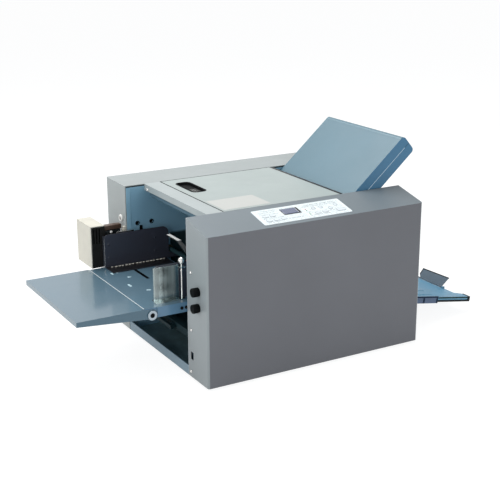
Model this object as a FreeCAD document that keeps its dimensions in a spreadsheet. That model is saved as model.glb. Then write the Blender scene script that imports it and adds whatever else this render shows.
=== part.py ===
import FreeCAD, Part
import math
import os
import re
import Sketcher

# Desktop paper folding machine. +X is the way of the paper, from the feed table to the exit tray,
# +Y is away from the operator, +Z is up. The origin lies on the floor, under the middle of the
# whole machine. Lengths are millimetres and angles are degrees.

# Driving sizes of the casing and its frame
SIZES = {
    "body_length": 558,
    "body_depth": 520,
    "body_height": 358,
    "foot_height": 6,
    "foot_radius": 14,
    "foot_inset": 42,
    "front_cover_width": 92,
    "rear_cover_width": 112,
    "front_drop": 21.5,
    "cover_wall": 2,
    "cover_corner_radius": 5,
    "frame_wall": 2.5,
    "frame_top_gap": 2.8,
    "frame_foot_width": 14,
    "pan_wall": 2,
    "sill_height": 22,
    "seat_gap": 0.3,
    "running_gap": 0.05,
    "overrun": 3,
    "vent_length": 60,
    "vent_width": 4,
    "vent_spacing": 11,
    "vent_height": 60,
    "vent_count": 8,
    "side_hole_radius": 3.8,
    "side_hole_height": 264.3,
    "side_hole_reach": 29.2,
    "side_hole_spacing": 36.6,
    "side_slot_height": 14,
    "notch_place": 68,
    "notch_width": 12,
    "notch_height": 42,
    "notch_rise": 18,
    # Cross strip, tie bars and exit panel
    "strip_reach": 50,
    "strip_width": 40,
    "strip_lip": 15,
    "strip_tab": 18,
    "tie_radius": 6,
    "panel_bottom": 118,
    "panel_top": 320,
    "panel_slot_count": 6,
    # Top cover and its latch
    "lid_length": 301,
    "lid_skirt": 14,
    "lid_gap": 1.4,
    "lid_wall": 2,
    "lid_axis_drop": 11,
    "lid_axis_reach": 7,
    "hinge_rod_radius": 4,
    "lid_ear_radius": 6,
    "latch_reach": 20,
    "latch_width": 36,
    "latch_length": 100,
    "latch_inset": 34.6,
    "latch_depth": 11,
    "latch_wall": 1.5,
    "latch_corner": 12,
    "latch_flap_width": 20,
    "latch_flap_wall": 3,
    "latch_flap_drop": 5,
    "latch_pin_radius": 1.2,
    # Control panel
    "panel_reach": 146,
    "panel_length": 225,
    "panel_width": 65,
    "panel_wall": 1,
    "panel_rise": 11,
    "display_reach": 67,
    "display_length": 41,
    "display_width": 22.5,
    "display_rise": 41.5,
    "display_wall": 1.4,
    # Feed table and its extension
    "table_height": 170,
    "table_reach": 101,
    "table_inner": 100,
    "table_gap": 2.6,
    "table_wall": 2,
    "table_skirt": 23,
    "table_slot_reach": 6.5,
    "table_slot_width": 6,
    "table_slot_length": 122,
    "table_slot_inset": 9.5,
    "extension_length": 152,
    "extension_gap": 0.6,
    "extension_tip": 11,
    "pivot_reach": 83,
    "pivot_drop": 15.5,
    "pivot_shank_radius": 6.8,
    "pivot_head_radius": 10.5,
    "pivot_head_wall": 3,
    "pivot_bore_radius": 5.4,
    "pivot_clear": 12.5,
    "ear_reach": 99,
    "ear_overlap": 10,
    "ear_depth": 24,
    # Lift drive of the feed table
    "rack_module": 1.5,
    "pinion_teeth": 16,
    "rack_back": 5,
    "rack_width": 6,
    "rack_inset": 2,
    "rack_length": 70,
    "rack_teeth": 13,
    "pinion_height": 115,
    "lift_shaft_radius": 4,
    # Side guides
    "guide_reach": 62,
    "guide_inner": 104,
    "guide_height": 80,
    "guide_wall": 2,
    "guide_nose_reach": 134,
    "guide_nose_height": 12,
    "guide_foot_width": 12,
    "rear_foot_width": 46,
    "guide_foot_wall": 1.5,
    "guide_foot_inner": 95,
    "guide_corner": 9,
    "guide_back_corner": 16,
    "guide_stud_radius": 2.7,
    "guide_stud_length": 8,
    "front_guide_place": 126,
    "rear_guide_inset": 124,
    "bracket_reach": 65,
    "bracket_inner": 5,
    "bracket_height": 77,
    "bracket_wall": 1.6,
    "bracket_foot": 12,
    "bracket_ear": 11,
    "bracket_ear_height": 72,
    "pin_radius": 2,
    "pin_inset": 5,
    "pin_ball_radius": 7.5,
    "pin_collar_radius": 3.6,
    "pin_collar_wall": 2,
    "pin_travel": 7,
    "pin_height": 77,
    "block_reach": 91,
    "block_length": 35,
    "block_depth": 86,
    "block_height": 101,
    "block_gap": 9,
    "block_cover_wall": 2,
    "block_slot_width": 3.6,
    "block_slot_spacing": 7,
    "block_slot_height": 36,
    "block_slot_depth": 6,
    "block_slot_drop": 5,
    "block_slot_count": 3,
    # Front end knobs
    "knob_place": 40.5,
    "knob_height": 172,
    "knob_spacing": 36.4,
    "knob_radius": 10,
    "knob_length": 15,
    "knob_spindle_radius": 3,
    "knob_spindle_length": 16,
    "knob_gap": 0.5,
    # Fold rollers and gears
    "nip_distance": 252,
    "nip_height": 164.8,
    "first_nip_tilt": 5,
    "second_nip_tilt": 50,
    "third_nip_tilt": 10,
    "roller_pitch": 40,
    "roller_nip_gap": 0.4,
    "roller_end_gap": 8,
    "journal_radius": 5,
    "bush_radius": 9,
    "bush_length": 4,
    "gear_teeth": 20,
    "gear_module": 2,
    "gear_width": 10,
    "gear_offset": 6,
    "gear_hub_radius": 9,
    "gear_hub_length": 4,
    "gear_phase": 4,
    "tooth_root_share": 1.25,
    # Belts, pulleys and motor
    "belt_wall": 2,
    "belt_width": 7,
    "pulley_width": 10,
    "pulley_flange": 1.2,
    "pulley_rim": 2.5,
    "drive_pulley_radius": 24,
    "motor_pulley_radius": 12,
    "drive_pulley_offset": 22,
    "side_pulley_radius": 12,
    "feed_belt_offset": 4,
    "exit_belt_offset": 17,
    "motor_reach": 430,
    "motor_height": 70,
    "motor_radius": 32,
    "motor_length": 58,
    "motor_shaft_radius": 4,
    "motor_foot_width": 50,
    # Feed roller, separator and paper guides
    "feed_distance": 112,
    "feed_tyre_radius": 18,
    "feed_tyre_width": 30,
    "feed_tyre_spacing": 10,
    "feed_shaft_radius": 4,
    "feed_core_radius": 12,
    "paper_gap": 0.8,
    "pad_length": 30,
    "pad_width": 76,
    "pad_depth": 16,
    "lever_back": 52,
    "lever_rise": 67.2,
    "lever_length": 58,
    "lever_wall": 2.5,
    "lever_width": 9,
    "lever_stem_width": 6,
    "lever_eye_radius": 9,
    "guide_sheet_wall": 1.5,
    "guide_sheet_start": 138,
    "guide_sheet_mouth": 6,
    "guide_sheet_throat": 7,
    "chute_start": 306,
    "chute_gap": 6,
    # Exit roller
    "exit_inset": 28,
    "exit_tyre_radius": 12,
    "exit_tyre_width": 20,
    "exit_shaft_radius": 6,
    "exit_tyre_count": 4,
    # First fold plate
    "plate_tilt": 41,
    "plate_mouth": 38,
    "plate_start": 215,
    "plate_end": 443,
    "plate_depth": 48,
    "plate_wall": 2,
    "plate_corner_radius": 9,
    "plate_front_gap": 3,
    "plate_rear_gap": 4.5,
    "plate_sheet_gap": 3.4,
    "plate_sheet_wall": 1.4,
    "plate_seam": 0.8,
    "plate_rib_height": 5,
    "plate_rib_width": 3,
    "plate_rib_count": 5,
    "plate_rail_width": 12,
    "plate_rail_depth": 5,
    "plate_rail_length": 105,
    "stop_wall": 2.6,
    "stop_length": 9,
    "stop_inset": 14,
    "stop_place": 250,
    "stop_tooth_length": 7,
    "stop_tooth_width": 8,
    "stop_teeth": 11,
    # Second fold plate
    "lower_tilt": 10,
    "lower_mouth_reach": 248.6,
    "lower_mouth_height": 112.2,
    "lower_length": 226,
    "lower_inset": 16,
    "lower_depth": 20,
    "lower_rail_width": 18,
    "lower_rail_length": 100,
    "lower_rail_start": 14,
    "lower_handle_width": 90,
    "lower_handle_reach": 14,
    "lower_window_count": 4,
    # Exit tray
    "tray_axis_inset": 8,
    "tray_axis_height": 65,
    "tray_slope": 9.4,
    "tray_rise": 11.5,
    "tray_length": 154,
    "tray_lead": 3,
    "tray_tail": 12,
    "tray_peg_radius": 2,
    "tray_gap": 8,
    "tray_wall": 2,
    "tray_side": 17,
    "tray_pin_radius": 3,
    "tray_lip": 6,
    "tray_rib_depth": 5,
    "tray_extension_start": 60,
    "tray_extension_end": 238,
    "tray_horn": 24.5,
    "tray_horn_width": 24,
    "tray_extension_side": 12.4,
    "wing_inset": 4,
    "wing_rise": 2.4,
    "wing_tilt": 50,
    "wing_height": 30,
    "wing_far_height": 27,
    "wing_far_rise": 9,
    "wing_near": 183,
    "wing_width": 96,
    "wing_wall": 1.6,
    "wing_pin_radius": 1.4,
    "wing_ear": 4,
    # Power inlet and switch
    "inlet_reach": 60,
    "inlet_height": 30,
    "inlet_width": 36,
    "inlet_rise": 60,
    "inlet_depth": 24,
    "inlet_flange": 1.5,
    "inlet_border": 4,
    "socket_width": 22,
    "socket_rise": 18,
    "socket_depth": 16,
    "socket_place": 7,
    "socket_pin": 2,
    "rocker_width": 12.4,
    "rocker_rise": 20,
    "rocker_place": 30,
    "rocker_depth": 12,
    "rocker_proud": 3,
    "rocker_pin_radius": 1.5,
    "rocker_tilt": 8,
}

# Shares of a size that set a smaller one on the same piece
FOOT_DIMPLE_SHARE = 0.33
ROCKER_BACK_SHARE = 0.6
MOTOR_SEAT_SHARE = 0.8
LEVER_FOOT_SHARES = (0.9, 0.4)
LOWER_STOP_SHARE = 0.6
EXTENSION_EAR_SHARE = 0.72
BLOCK_SLOT_SHARE = 0.6
WING_SLANT_SHARES = (0.2, 0.33)
# Each pin of the socket: its place across and up the socket
SOCKET_PIN_SHARES = ((-0.25, 0.4), (0, 0.65), (0.25, 0.4))
# Outline of the pull pin's ball: radius and height over its middle
BALL_SHARES = ((0.6, -0.8), (0.92, -0.4), (1, 0), (0.92, 0.4), (0.6, 0.8))

# Places worked out from the driving sizes
PLACES = {
    "feed_reach": "table_reach + extension_length",
    "tray_reach": "tray_extension_end + tray_horn",
    "exit_reach": "tray_reach * cos(tray_slope) - tray_axis_inset",
    "feed_end": "feed_reach - (feed_reach + body_length + exit_reach) / 2",
    "exit_end": "feed_end + body_length",
    "front": "-body_depth / 2",
    "rear": "body_depth / 2",
    "base": "foot_height",
    "top": "foot_height + body_height",
    "front_wall": "front + front_cover_width",
    "rear_wall": "rear - rear_cover_width",
    "middle": "(front_wall + rear_wall) / 2",
    "frame_front": "front_wall - frame_wall",
    "frame_rear": "rear_wall + frame_wall",
    "frame_top": "top - cover_wall - frame_top_gap",
    "floor_top": "base + pan_wall",
    "table_top": "base + table_height",
    "table_front": "front_wall + table_gap",
    "table_rear": "rear_wall - table_gap",
    "table_start": "feed_end - table_reach",
    "table_end": "feed_end + table_inner",
    "pivot_x": "feed_end - pivot_reach",
    "pivot_z": "table_top - pivot_drop",
    "skirt_start": "pivot_x + pivot_clear + seat_gap",
    "ear_front": "table_front + table_wall + seat_gap",
    "ear_rear": "table_rear - table_wall - seat_gap",
    "rack_pitch_x": "table_end + rack_back + tooth_root_share * rack_module",
    "pinion_radius": "rack_module * pinion_teeth / 2",
    "lift_x": "rack_pitch_x + pinion_radius",
    "lift_z": "base + pinion_height",
    "rack_bottom": "table_top - rack_length",
    "slot_x": "feed_end - table_slot_reach",
    "front_guide": "front + front_guide_place",
    "rear_guide": "rear - rear_guide_inset",
    "guide_floor": "table_top + seat_gap",
    "roller_radius": "roller_pitch / 2 - roller_nip_gap / 2",
    "nip_x": "feed_end + nip_distance",
    "nip_z": "base + nip_height",
    "roller_1_x": "nip_x - roller_pitch / 2 * sin(first_nip_tilt)",
    "roller_1_z": "nip_z + roller_pitch / 2 * cos(first_nip_tilt)",
    "roller_2_x": "nip_x + roller_pitch / 2 * sin(first_nip_tilt)",
    "roller_2_z": "nip_z - roller_pitch / 2 * cos(first_nip_tilt)",
    "roller_3_x": "roller_2_x + roller_pitch * cos(second_nip_tilt)",
    "roller_3_z": "roller_2_z - roller_pitch * sin(second_nip_tilt)",
    "roller_4_x": "roller_3_x - roller_pitch * sin(third_nip_tilt)",
    "roller_4_z": "roller_3_z - roller_pitch * cos(third_nip_tilt)",
    "gear_front": "frame_rear + gear_offset",
    "drive_pulley_front": "frame_rear + drive_pulley_offset",
    "feed_belt_rear": "frame_front - feed_belt_offset",
    "exit_belt_rear": "frame_front - exit_belt_offset",
    "feed_x": "feed_end + feed_distance",
    "feed_z": "table_top + paper_gap + feed_tyre_radius",
    "exit_x": "exit_end - exit_inset",
    "paper_out_z": "roller_3_z - roller_pitch / 2 * cos(third_nip_tilt)",
    "exit_z": "paper_out_z - exit_tyre_radius",
    "motor_x": "feed_end + motor_reach",
    "motor_z": "base + motor_height",
    "lid_start": "feed_end + strip_reach + strip_width + lid_gap",
    "lid_end": "lid_start + lid_length",
    "lid_front": "front_wall + lid_gap",
    "lid_rear": "rear_wall - lid_gap",
    "lid_axis_x": "lid_end + lid_axis_reach",
    "lid_axis_z": "top - lid_axis_drop",
    "latch_x": "lid_start + latch_reach",
    "latch_front": "lid_rear - latch_inset - latch_length",
    "latch_floor": "top - lid_wall - latch_depth",
    "flap_axis_x": "latch_x + latch_width - latch_flap_wall",
    "flap_axis_z": "top - latch_flap_drop - latch_flap_wall / 2",
    "cover_tilt": "atan(front_drop / front_cover_width)",
    "tray_axis_x": "exit_end - tray_axis_inset",
    "tray_axis_z": "base + tray_axis_height",
    "tray_front": "front_wall + tray_gap",
    "tray_rear": "rear_wall - tray_gap",
    "wing_u": "tray_extension_end - wing_inset",
    "wing_v": "tray_rise - tray_wall - seat_gap + wing_rise",
    "plate_front": "front_wall + plate_front_gap",
    "plate_rear": "rear_wall - plate_rear_gap",
    "knob_z": "base + knob_height",
    "knob_y": "front + knob_place",
    "inlet_x": "feed_end + inlet_reach",
    "inlet_z": "base + inlet_height",
}

# Tooth outline of every gear: height over the pitch line and half width, as shares of the module
TOOTH_SHARES = ((-SIZES["tooth_root_share"], 0.86), (0, 0.74), (0.9, 0.36))
RACK_TOOTH_SHARES = ((-SIZES["tooth_root_share"], 1.19), (0, 0.74), (0.9, 0.41))

doc = FreeCAD.newDocument("PaperFolder")
sheet = doc.addObject("Spreadsheet::Sheet", "Sizes")
for row, (alias, value) in enumerate(SIZES.items(), start=1):
    sheet.set(f"A{row}", alias)
    sheet.set(f"B{row}", str(value))
    sheet.setAlias(f"B{row}", alias)
doc.recompute()

NODES = []
CHANGES = []


def formula(text):
    """Write out a size formula with every place and sheet cell in it."""

    def written(match):
        word = match.group(0)
        if word in PLACES:
            return "(" + formula(PLACES[word]) + ")"
        if word in SIZES:
            return "Sizes." + word
        return word

    return re.sub(r"[a-z][a-z_0-9]*", written, str(text))


def bind(thing, path, text):
    """Bind one property of an object to a formula."""
    thing.setExpression(path, formula(text))


def outline(*points):
    """A closed outline through points given as pairs of formulas."""

    def draw(sketch):
        start = sketch.GeometryCount
        count = len(points)
        for index in range(count):
            turn = 2 * math.pi * index / count
            after = 2 * math.pi * (index + 1) / count
            a = FreeCAD.Vector(math.cos(turn), math.sin(turn), 0)
            b = FreeCAD.Vector(math.cos(after), math.sin(after), 0)
            sketch.addGeometry(Part.LineSegment(a, b), False)
        for index in range(count):
            after = start + (index + 1) % count
            sketch.addConstraint(Sketcher.Constraint("Coincident", start + index, 2, after, 1))
        for index, point in enumerate(points):
            for kind, text in zip(("DistanceX", "DistanceY"), point):
                place = Sketcher.Constraint(kind, -1, 1, start + index, 1, 1.0)
                bind(sketch, f"Constraints[{sketch.addConstraint(place)}]", text)

    return draw


def rectangle(x_low, y_low, x_high, y_high):
    """A closed rectangle between two corners."""
    return outline((x_low, y_low), (x_high, y_low), (x_high, y_high), (x_low, y_high))


def circle(x, y, radius):
    """A circle round a centre."""

    def draw(sketch):
        ring = Part.Circle(FreeCAD.Vector(0, 0, 0), FreeCAD.Vector(0, 0, 1), 1)
        number = sketch.addGeometry(ring, False)
        for kind, text in zip(("DistanceX", "DistanceY"), (x, y)):
            place = Sketcher.Constraint(kind, -1, 1, number, 3, 1.0)
            bind(sketch, f"Constraints[{sketch.addConstraint(place)}]", text)
        size = Sketcher.Constraint("Radius", number, 1.0)
        bind(sketch, f"Constraints[{sketch.addConstraint(size)}]", radius)

    return draw


class Piece:
    """One sub-part of the machine, built as a body of sketches and features."""

    def __init__(self, name, compound=False):
        self.name = name
        self.body = doc.addObject("PartDesign::Body", name)
        self.body.Label = name
        self.body.AllowCompound = compound
        NODES.append(self.body)

    def sketch(self, plane, offset, shapes):
        """Draw shapes on one of the body's own origin planes, moved along its normal."""
        drawing = self.body.newObject("Sketcher::SketchObject", self.name + "_outline")
        planes = [item for item in self.body.Origin.OriginFeatures if item.Role == plane + "_Plane"]
        drawing.AttachmentSupport = [(planes[0], "")]
        drawing.MapMode = "FlatFace"
        bind(drawing, "AttachmentOffset.Base.z", offset)
        for shape in shapes:
            shape(drawing)
        return drawing

    def feature(self, kind, plane, low, high, shapes):
        """Add a pad or a pocket that reaches from low to high along the plane's axis."""
        base = self.body.Tip
        offset = f"-({high})" if plane == "XZ" else low
        drawing = self.sketch(plane, offset, shapes)
        made = self.body.newObject("PartDesign::" + kind, self.name + "_" + kind.lower())
        made.Profile = drawing
        made.Refine = False
        bind(made, "Length", f"({high}) - ({low})")
        if kind == "Pocket":
            made.Reversed = True
        if base is not None:
            CHANGES.append((self.name, kind, base, made))
        return made

    def pad(self, plane, low, high, *shapes):
        return self.feature("Pad", plane, low, high, shapes)

    def cut(self, plane, low, high, *shapes):
        return self.feature("Pocket", plane, low, high, shapes)

    def turn(self, plane, axis, *shapes):
        """Turn outlines round the sketch's own H_Axis or V_Axis."""
        drawing = self.sketch(plane, "0", shapes)
        made = self.body.newObject("PartDesign::Revolution", self.name + "_turned")
        made.Profile = drawing
        made.ReferenceAxis = (drawing, [axis])
        made.Angle = 360
        return made

    def ring(self, axis_role, feature, count):
        """Repeat a feature round one of the body's own origin axes."""
        axes = [item for item in self.body.Origin.OriginFeatures if item.Role == axis_role]
        made = self.body.newObject("PartDesign::PolarPattern", self.name + "_ring")
        made.Originals = [feature]
        made.Axis = (axes[0], [""])
        made.Angle = 360
        bind(made, "Occurrences", count)
        self.body.Tip = made
        return made

    def row(self, axis_role, feature, count, length):
        """Repeat a feature along one of the body's own origin axes."""
        axes = [item for item in self.body.Origin.OriginFeatures if item.Role == axis_role]
        made = self.body.newObject("PartDesign::LinearPattern", self.name + "_row")
        made.Originals = [feature]
        made.Direction = (axes[0], [""])
        bind(made, "Length", length)
        bind(made, "Occurrences", count)
        self.body.Tip = made
        return made

    def soften(self, radius, chosen, kind="Fillet"):
        """Round the edges that a test on their direction, middle and the bounds picks out."""
        doc.recompute()
        shape = self.body.Tip.Shape
        box = shape.BoundBox
        names = []
        for number, edge in enumerate(shape.Edges, start=1):
            if edge.Curve.TypeId != "Part::GeomLine":
                continue
            along = edge.tangentAt(edge.FirstParameter)
            if chosen(along, edge.CenterOfMass, box):
                names.append(f"Edge{number}")
        if not names:
            raise RuntimeError(f"{self.name} has no edge to soften")
        made = self.body.newObject("PartDesign::" + kind, self.name + "_softened")
        made.Base = (self.body.Tip if self.body.Tip is not made else made.BaseFeature, names)
        bind(made, "Radius" if kind == "Fillet" else "Size", radius)
        return made

    def place(self, x="0", y="0", z="0", axis=None, angle=None):
        """Put the whole body in its place in the machine."""
        if axis is not None:
            turn = FreeCAD.Rotation(FreeCAD.Vector(*axis), 10)
            self.body.Placement = FreeCAD.Placement(FreeCAD.Vector(), turn)
            bind(self.body, "Placement.Rotation.Angle", angle)
        for letter, text in zip("xyz", (x, y, z)):
            bind(self.body, "Placement.Base." + letter, text)
        return self


def near(a, b):
    """Whether two places are the same."""
    return abs(a - b) < 1e-4


def across(along, letter):
    """Whether a direction runs along the axis with this letter."""
    return abs(getattr(along, letter)) > 0.999


# Positive tilts lift the +X end of a piece
LIFT = (0, -1, 0)
UP_SLOPE = (1, 0, 0)


def make_pan():
    pan = Piece("base_pan")
    wide_front = "front + cover_wall + seat_gap"
    wide_rear = "rear - cover_wall - seat_gap"
    start = "feed_end + cover_wall + seat_gap"
    end = "exit_end - cover_wall - seat_gap"
    near_side = "front_wall + seat_gap"
    far_side = "rear_wall - seat_gap"
    pan.pad("XY", "base", "floor_top", outline(
        (start, wide_front), (end, wide_front), (end, near_side), ("exit_end", near_side),
        ("exit_end", far_side), (end, far_side), (end, wide_rear), (start, wide_rear),
        (start, far_side), ("feed_end", far_side), ("feed_end", near_side), (start, near_side)))
    pan.pad("XY", "base", "base + sill_height",
            rectangle("feed_end", near_side, "feed_end + pan_wall", far_side),
            rectangle("exit_end - pan_wall", near_side, "exit_end", far_side))


def make_feet():
    feet = Piece("feet", compound=True)
    centres = [(f"{x_end} {x_sign} foot_inset", f"{y_end} {y_sign} foot_inset")
               for x_end, x_sign in (("feed_end", "+"), ("exit_end", "-"))
               for y_end, y_sign in (("front", "+"), ("rear", "-"))]
    feet.pad("XY", "0", "base", *[circle(x, y, "foot_radius") for x, y in centres])
    dimple = f"foot_radius * {FOOT_DIMPLE_SHARE}"
    feet.cut("XY", "0", f"base * {FOOT_DIMPLE_SHARE}", *[circle(x, y, dimple) for x, y in centres])


SHAFTS = [("roller_1_x", "roller_1_z"), ("roller_2_x", "roller_2_z"), ("roller_3_x", "roller_3_z"),
          ("roller_4_x", "roller_4_z"), ("feed_x", "feed_z"), ("exit_x", "exit_z"),
          ("lift_x", "lift_z")]

TIE_BARS = [("feed_end + strip_reach + strip_width / 2", "top - lid_skirt - strip_lip"),
            ("nip_x - roller_pitch", "top - 2 * roller_pitch - strip_lip"),
            ("exit_x - roller_pitch", "top - 2 * roller_pitch - strip_lip"),
            ("nip_x + 2 * roller_pitch", "base + roller_pitch"),
            ("nip_x - 2 * roller_pitch", "base + roller_pitch / 2")]


def plate_point(u, v, axis):
    """A point of the first fold plate's own frame, in the machine's frame."""
    if axis == "x":
        return f"nip_x + ({u}) * cos(plate_tilt) - ({v}) * sin(plate_tilt)"
    return f"nip_z + ({u}) * sin(plate_tilt) + ({v}) * cos(plate_tilt)"


def lower_point(u, v, axis):
    """A point of the second fold plate's own frame, in the machine's frame."""
    if axis == "x":
        return f"feed_end + lower_mouth_reach - ({u}) * cos(lower_tilt) - ({v}) * sin(lower_tilt)"
    return f"base + lower_mouth_height - ({u}) * sin(lower_tilt) + ({v}) * cos(lower_tilt)"


def tray_point(u, v, axis):
    """A point of the exit tray's own frame, in the machine's frame."""
    if axis == "x":
        return f"tray_axis_x + ({u}) * cos(tray_slope) + ({v}) * sin(tray_slope)"
    return f"tray_axis_z - ({u}) * sin(tray_slope) + ({v}) * cos(tray_slope)"


def make_frames():
    for name, outer, inner, way in (("front_frame", "frame_front", "front_wall", 1),
                                    ("rear_frame", "frame_rear", "rear_wall", -1)):
        low, high = (outer, inner) if way > 0 else (inner, outer)
        frame = Piece(name)
        start = "feed_end + cover_wall + seat_gap"
        end = "exit_end - cover_wall - seat_gap"
        frame.pad("XZ", low, high, rectangle(start, "floor_top", end, "frame_top"))
        foot_low = f"{outer} - frame_foot_width" if way > 0 else outer
        foot_high = outer if way > 0 else f"{outer} + frame_foot_width"
        frame.pad("XZ", foot_low, foot_high,
                  rectangle(start, "floor_top", end, "floor_top + frame_wall"))
        # Rails that carry the two fold plates
        under = "-plate_depth / 2 - seat_gap"
        first = "plate_start - plate_depth / 2"
        last = "plate_start - plate_depth / 2 + plate_rail_length"
        corners = [(first, under), (last, under), (last, under + " - plate_rail_depth"),
                   (first, under + " - plate_rail_depth")]
        rail = [(plate_point(u, v, "x"), plate_point(u, v, "z")) for u, v in corners]
        reach = "plate_rail_width"
        rail_low = inner if way > 0 else f"{inner} - {reach}"
        rail_high = f"{inner} + {reach}" if way > 0 else inner
        frame.pad("XZ", rail_low, rail_high, outline(*rail))
        under = "-lower_depth / 2 - seat_gap"
        first = "lower_rail_start"
        last = "lower_rail_start + lower_rail_length"
        corners = [(first, under), (last, under), (last, under + " - plate_rail_depth"),
                   (first, under + " - plate_rail_depth")]
        rail = [(lower_point(u, v, "x"), lower_point(u, v, "z")) for u, v in corners]
        rail_low = inner if way > 0 else f"{inner} - lower_rail_width"
        rail_high = f"{inner} + lower_rail_width" if way > 0 else inner
        frame.pad("XZ", rail_low, rail_high, outline(*rail))
        # Pin and stop peg of the exit tray
        pin_low = inner if way > 0 else "tray_rear - tray_wall"
        pin_high = "tray_front + tray_wall" if way > 0 else inner
        peg = ("tray_peg_radius + tray_lead / 2 - tray_tail", "tray_rise + seat_gap + tray_peg_radius")
        frame.pad("XZ", pin_low, pin_high,
                  circle("tray_axis_x", "tray_axis_z", "tray_pin_radius"),
                  circle(tray_point(*peg, "x"), tray_point(*peg, "z"), "tray_peg_radius"))
        holes = [circle(x, z, "bush_radius") for x, z in SHAFTS]
        holes += [circle(x, z, "tie_radius") for x, z in TIE_BARS]
        holes.append(circle("lid_axis_x", "lid_axis_z", "hinge_rod_radius"))
        reach = "feed_end + side_hole_reach"
        height = "base + side_hole_height"
        holes.append(circle(reach, height, "side_hole_radius"))
        holes.append(circle(f"{reach} + side_hole_spacing", height, "side_hole_radius"))
        slot_x = f"{reach} + side_slot_height / 2"
        slot_top = f"{height} - side_slot_height / 2"
        holes.append(rectangle(slot_x, f"{slot_top} - side_slot_height",
                               f"{slot_x} + side_hole_radius", slot_top))
        frame.cut("XZ", low, high, *holes)


def make_front_cover():
    cover = Piece("front_cover")
    slope_top = "top - cover_wall"
    step = "cover_wall / cos(cover_tilt)"
    cover.pad("YZ", "feed_end", "exit_end", outline(
        ("front", "base"), ("front", "top - front_drop"), ("front_wall", "top"),
        ("front_wall", "base")))
    doc.recompute()
    cover.soften("cover_corner_radius",
                 lambda along, middle, box: across(along, "z") and near(middle.y, box.YMin))
    cover.cut("YZ", "feed_end + cover_wall", "exit_end - cover_wall", outline(
        ("front + cover_wall", "base - overrun"),
        ("front + cover_wall", f"top - front_drop + cover_wall * tan(cover_tilt) - {step}"),
        ("front_wall", f"top - {step}"), ("front_wall + overrun", f"top - {step}"),
        ("front_wall + overrun", "base - overrun")))
    cover.cut("YZ", "feed_end - overrun", "feed_end + cover_wall + overrun",
              circle("knob_y", "knob_z", "knob_spindle_radius + running_gap"),
              circle("knob_y", "knob_z + knob_spacing", "knob_spindle_radius + running_gap"),
              rectangle("front + notch_place", "base + notch_height",
                        "front + notch_place + notch_width",
                        "base + notch_height + notch_rise"))


def make_rear_cover():
    cover = Piece("rear_cover")
    cover.pad("YZ", "feed_end", "exit_end", rectangle("rear_wall", "base", "rear", "top"))
    cover.soften("cover_corner_radius",
                 lambda along, middle, box: across(along, "z") and near(middle.y, box.YMax))
    cover.cut("YZ", "feed_end + cover_wall", "exit_end - cover_wall", rectangle(
        "rear_wall - overrun", "base - overrun", "rear - cover_wall", "top - cover_wall"))
    half = "(inlet_width / 2 - inlet_border + seat_gap)"
    bottom = "inlet_z + inlet_border - seat_gap"
    ceiling = "inlet_z + inlet_rise - inlet_border + seat_gap"
    cover.cut("XZ", "rear - cover_wall - overrun", "rear + overrun",
              rectangle(f"inlet_x - {half}", bottom, f"inlet_x + {half}", ceiling))
    middle = "(feed_end + exit_end) / 2"
    vents = []
    for index in range(SIZES["vent_count"]):
        low = f"{middle} + vent_spacing * {index}"
        vents.append(rectangle(low, "base + vent_height", f"{low} + vent_width",
                               "base + vent_height + vent_length"))
    cover.cut("XZ", "rear - cover_wall - overrun", "rear + overrun", *vents)


def make_cross_strip():
    strip = Piece("cross_strip")
    start = "feed_end + strip_reach"
    end = "feed_end + strip_reach + strip_width"
    near_side = "front_wall + seat_gap"
    far_side = "rear_wall - seat_gap"
    lower = "top - cover_wall"
    strip.pad("XZ", near_side, far_side, outline(
        (start, "top - strip_lip"), (f"{start} + cover_wall", "top - strip_lip"),
        (f"{start} + cover_wall", lower), (f"{end} - cover_wall", lower),
        (f"{end} - cover_wall", "top - strip_lip / 2"), (end, "top - strip_lip / 2"),
        (end, "top"), (start, "top")))
    inner_start = f"{start} + 2 * cover_wall"
    inner_end = f"{end} - 2 * cover_wall"
    strip.pad("YZ", inner_start, inner_end,
              rectangle(near_side, f"{lower} - strip_tab", f"{near_side} + cover_wall", lower),
              rectangle(f"{far_side} - cover_wall", f"{lower} - strip_tab", far_side, lower))


def make_tie_bars():
    bars = Piece("tie_bars", compound=True)
    bars.pad("XZ", "frame_front", "frame_rear",
             *[circle(x, z, "tie_radius") for x, z in TIE_BARS])
    rod = Piece("hinge_rod")
    rod.pad("XZ", "frame_front", "frame_rear", circle("lid_axis_x", "lid_axis_z", "hinge_rod_radius"))


def make_exit_panel():
    panel = Piece("exit_panel")
    near_side = "front_wall + seat_gap"
    far_side = "rear_wall - seat_gap"
    outer = "exit_end"
    inner = "exit_end - cover_wall"
    panel.pad("XZ", near_side, far_side, outline(
        (inner, "base + panel_bottom"), (outer, "base + panel_bottom"),
        (outer, "base + panel_top"), ("exit_end - strip_lip", "base + panel_top"),
        ("exit_end - strip_lip", "base + panel_top - cover_wall"),
        (inner, "base + panel_top - cover_wall")))
    slots = []
    for index in range(SIZES["panel_slot_count"]):
        low = f"base + panel_bottom + vent_length / 2 + vent_spacing * {index} * 2"
        slots.append(rectangle("middle - vent_length", low, "middle + vent_length",
                               f"{low} + vent_width"))
    panel.cut("YZ", "exit_end - cover_wall - overrun", "exit_end + overrun", *slots)


def make_control_panel():
    face = "(panel_rise + panel_width)"
    panel = Piece("control_panel")
    panel.pad("XY", "0", "panel_wall",
              rectangle("0", "panel_rise", "panel_length", face))
    panel.soften("panel_rise / 4", lambda along, middle, box: across(along, "z"))
    panel.place("feed_end + panel_reach", "front", "top - front_drop", UP_SLOPE, "cover_tilt")
    window = Piece("display_window")
    window.pad("XY", "panel_wall", "panel_wall + display_wall", rectangle(
        "display_reach", "display_rise", "display_reach + display_length",
        "display_rise + display_width"))
    window.soften("display_wall / 2", lambda along, middle, box: near(middle.z, box.ZMax), "Chamfer")
    window.place("feed_end + panel_reach", "front", "top - front_drop", UP_SLOPE, "cover_tilt")


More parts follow.
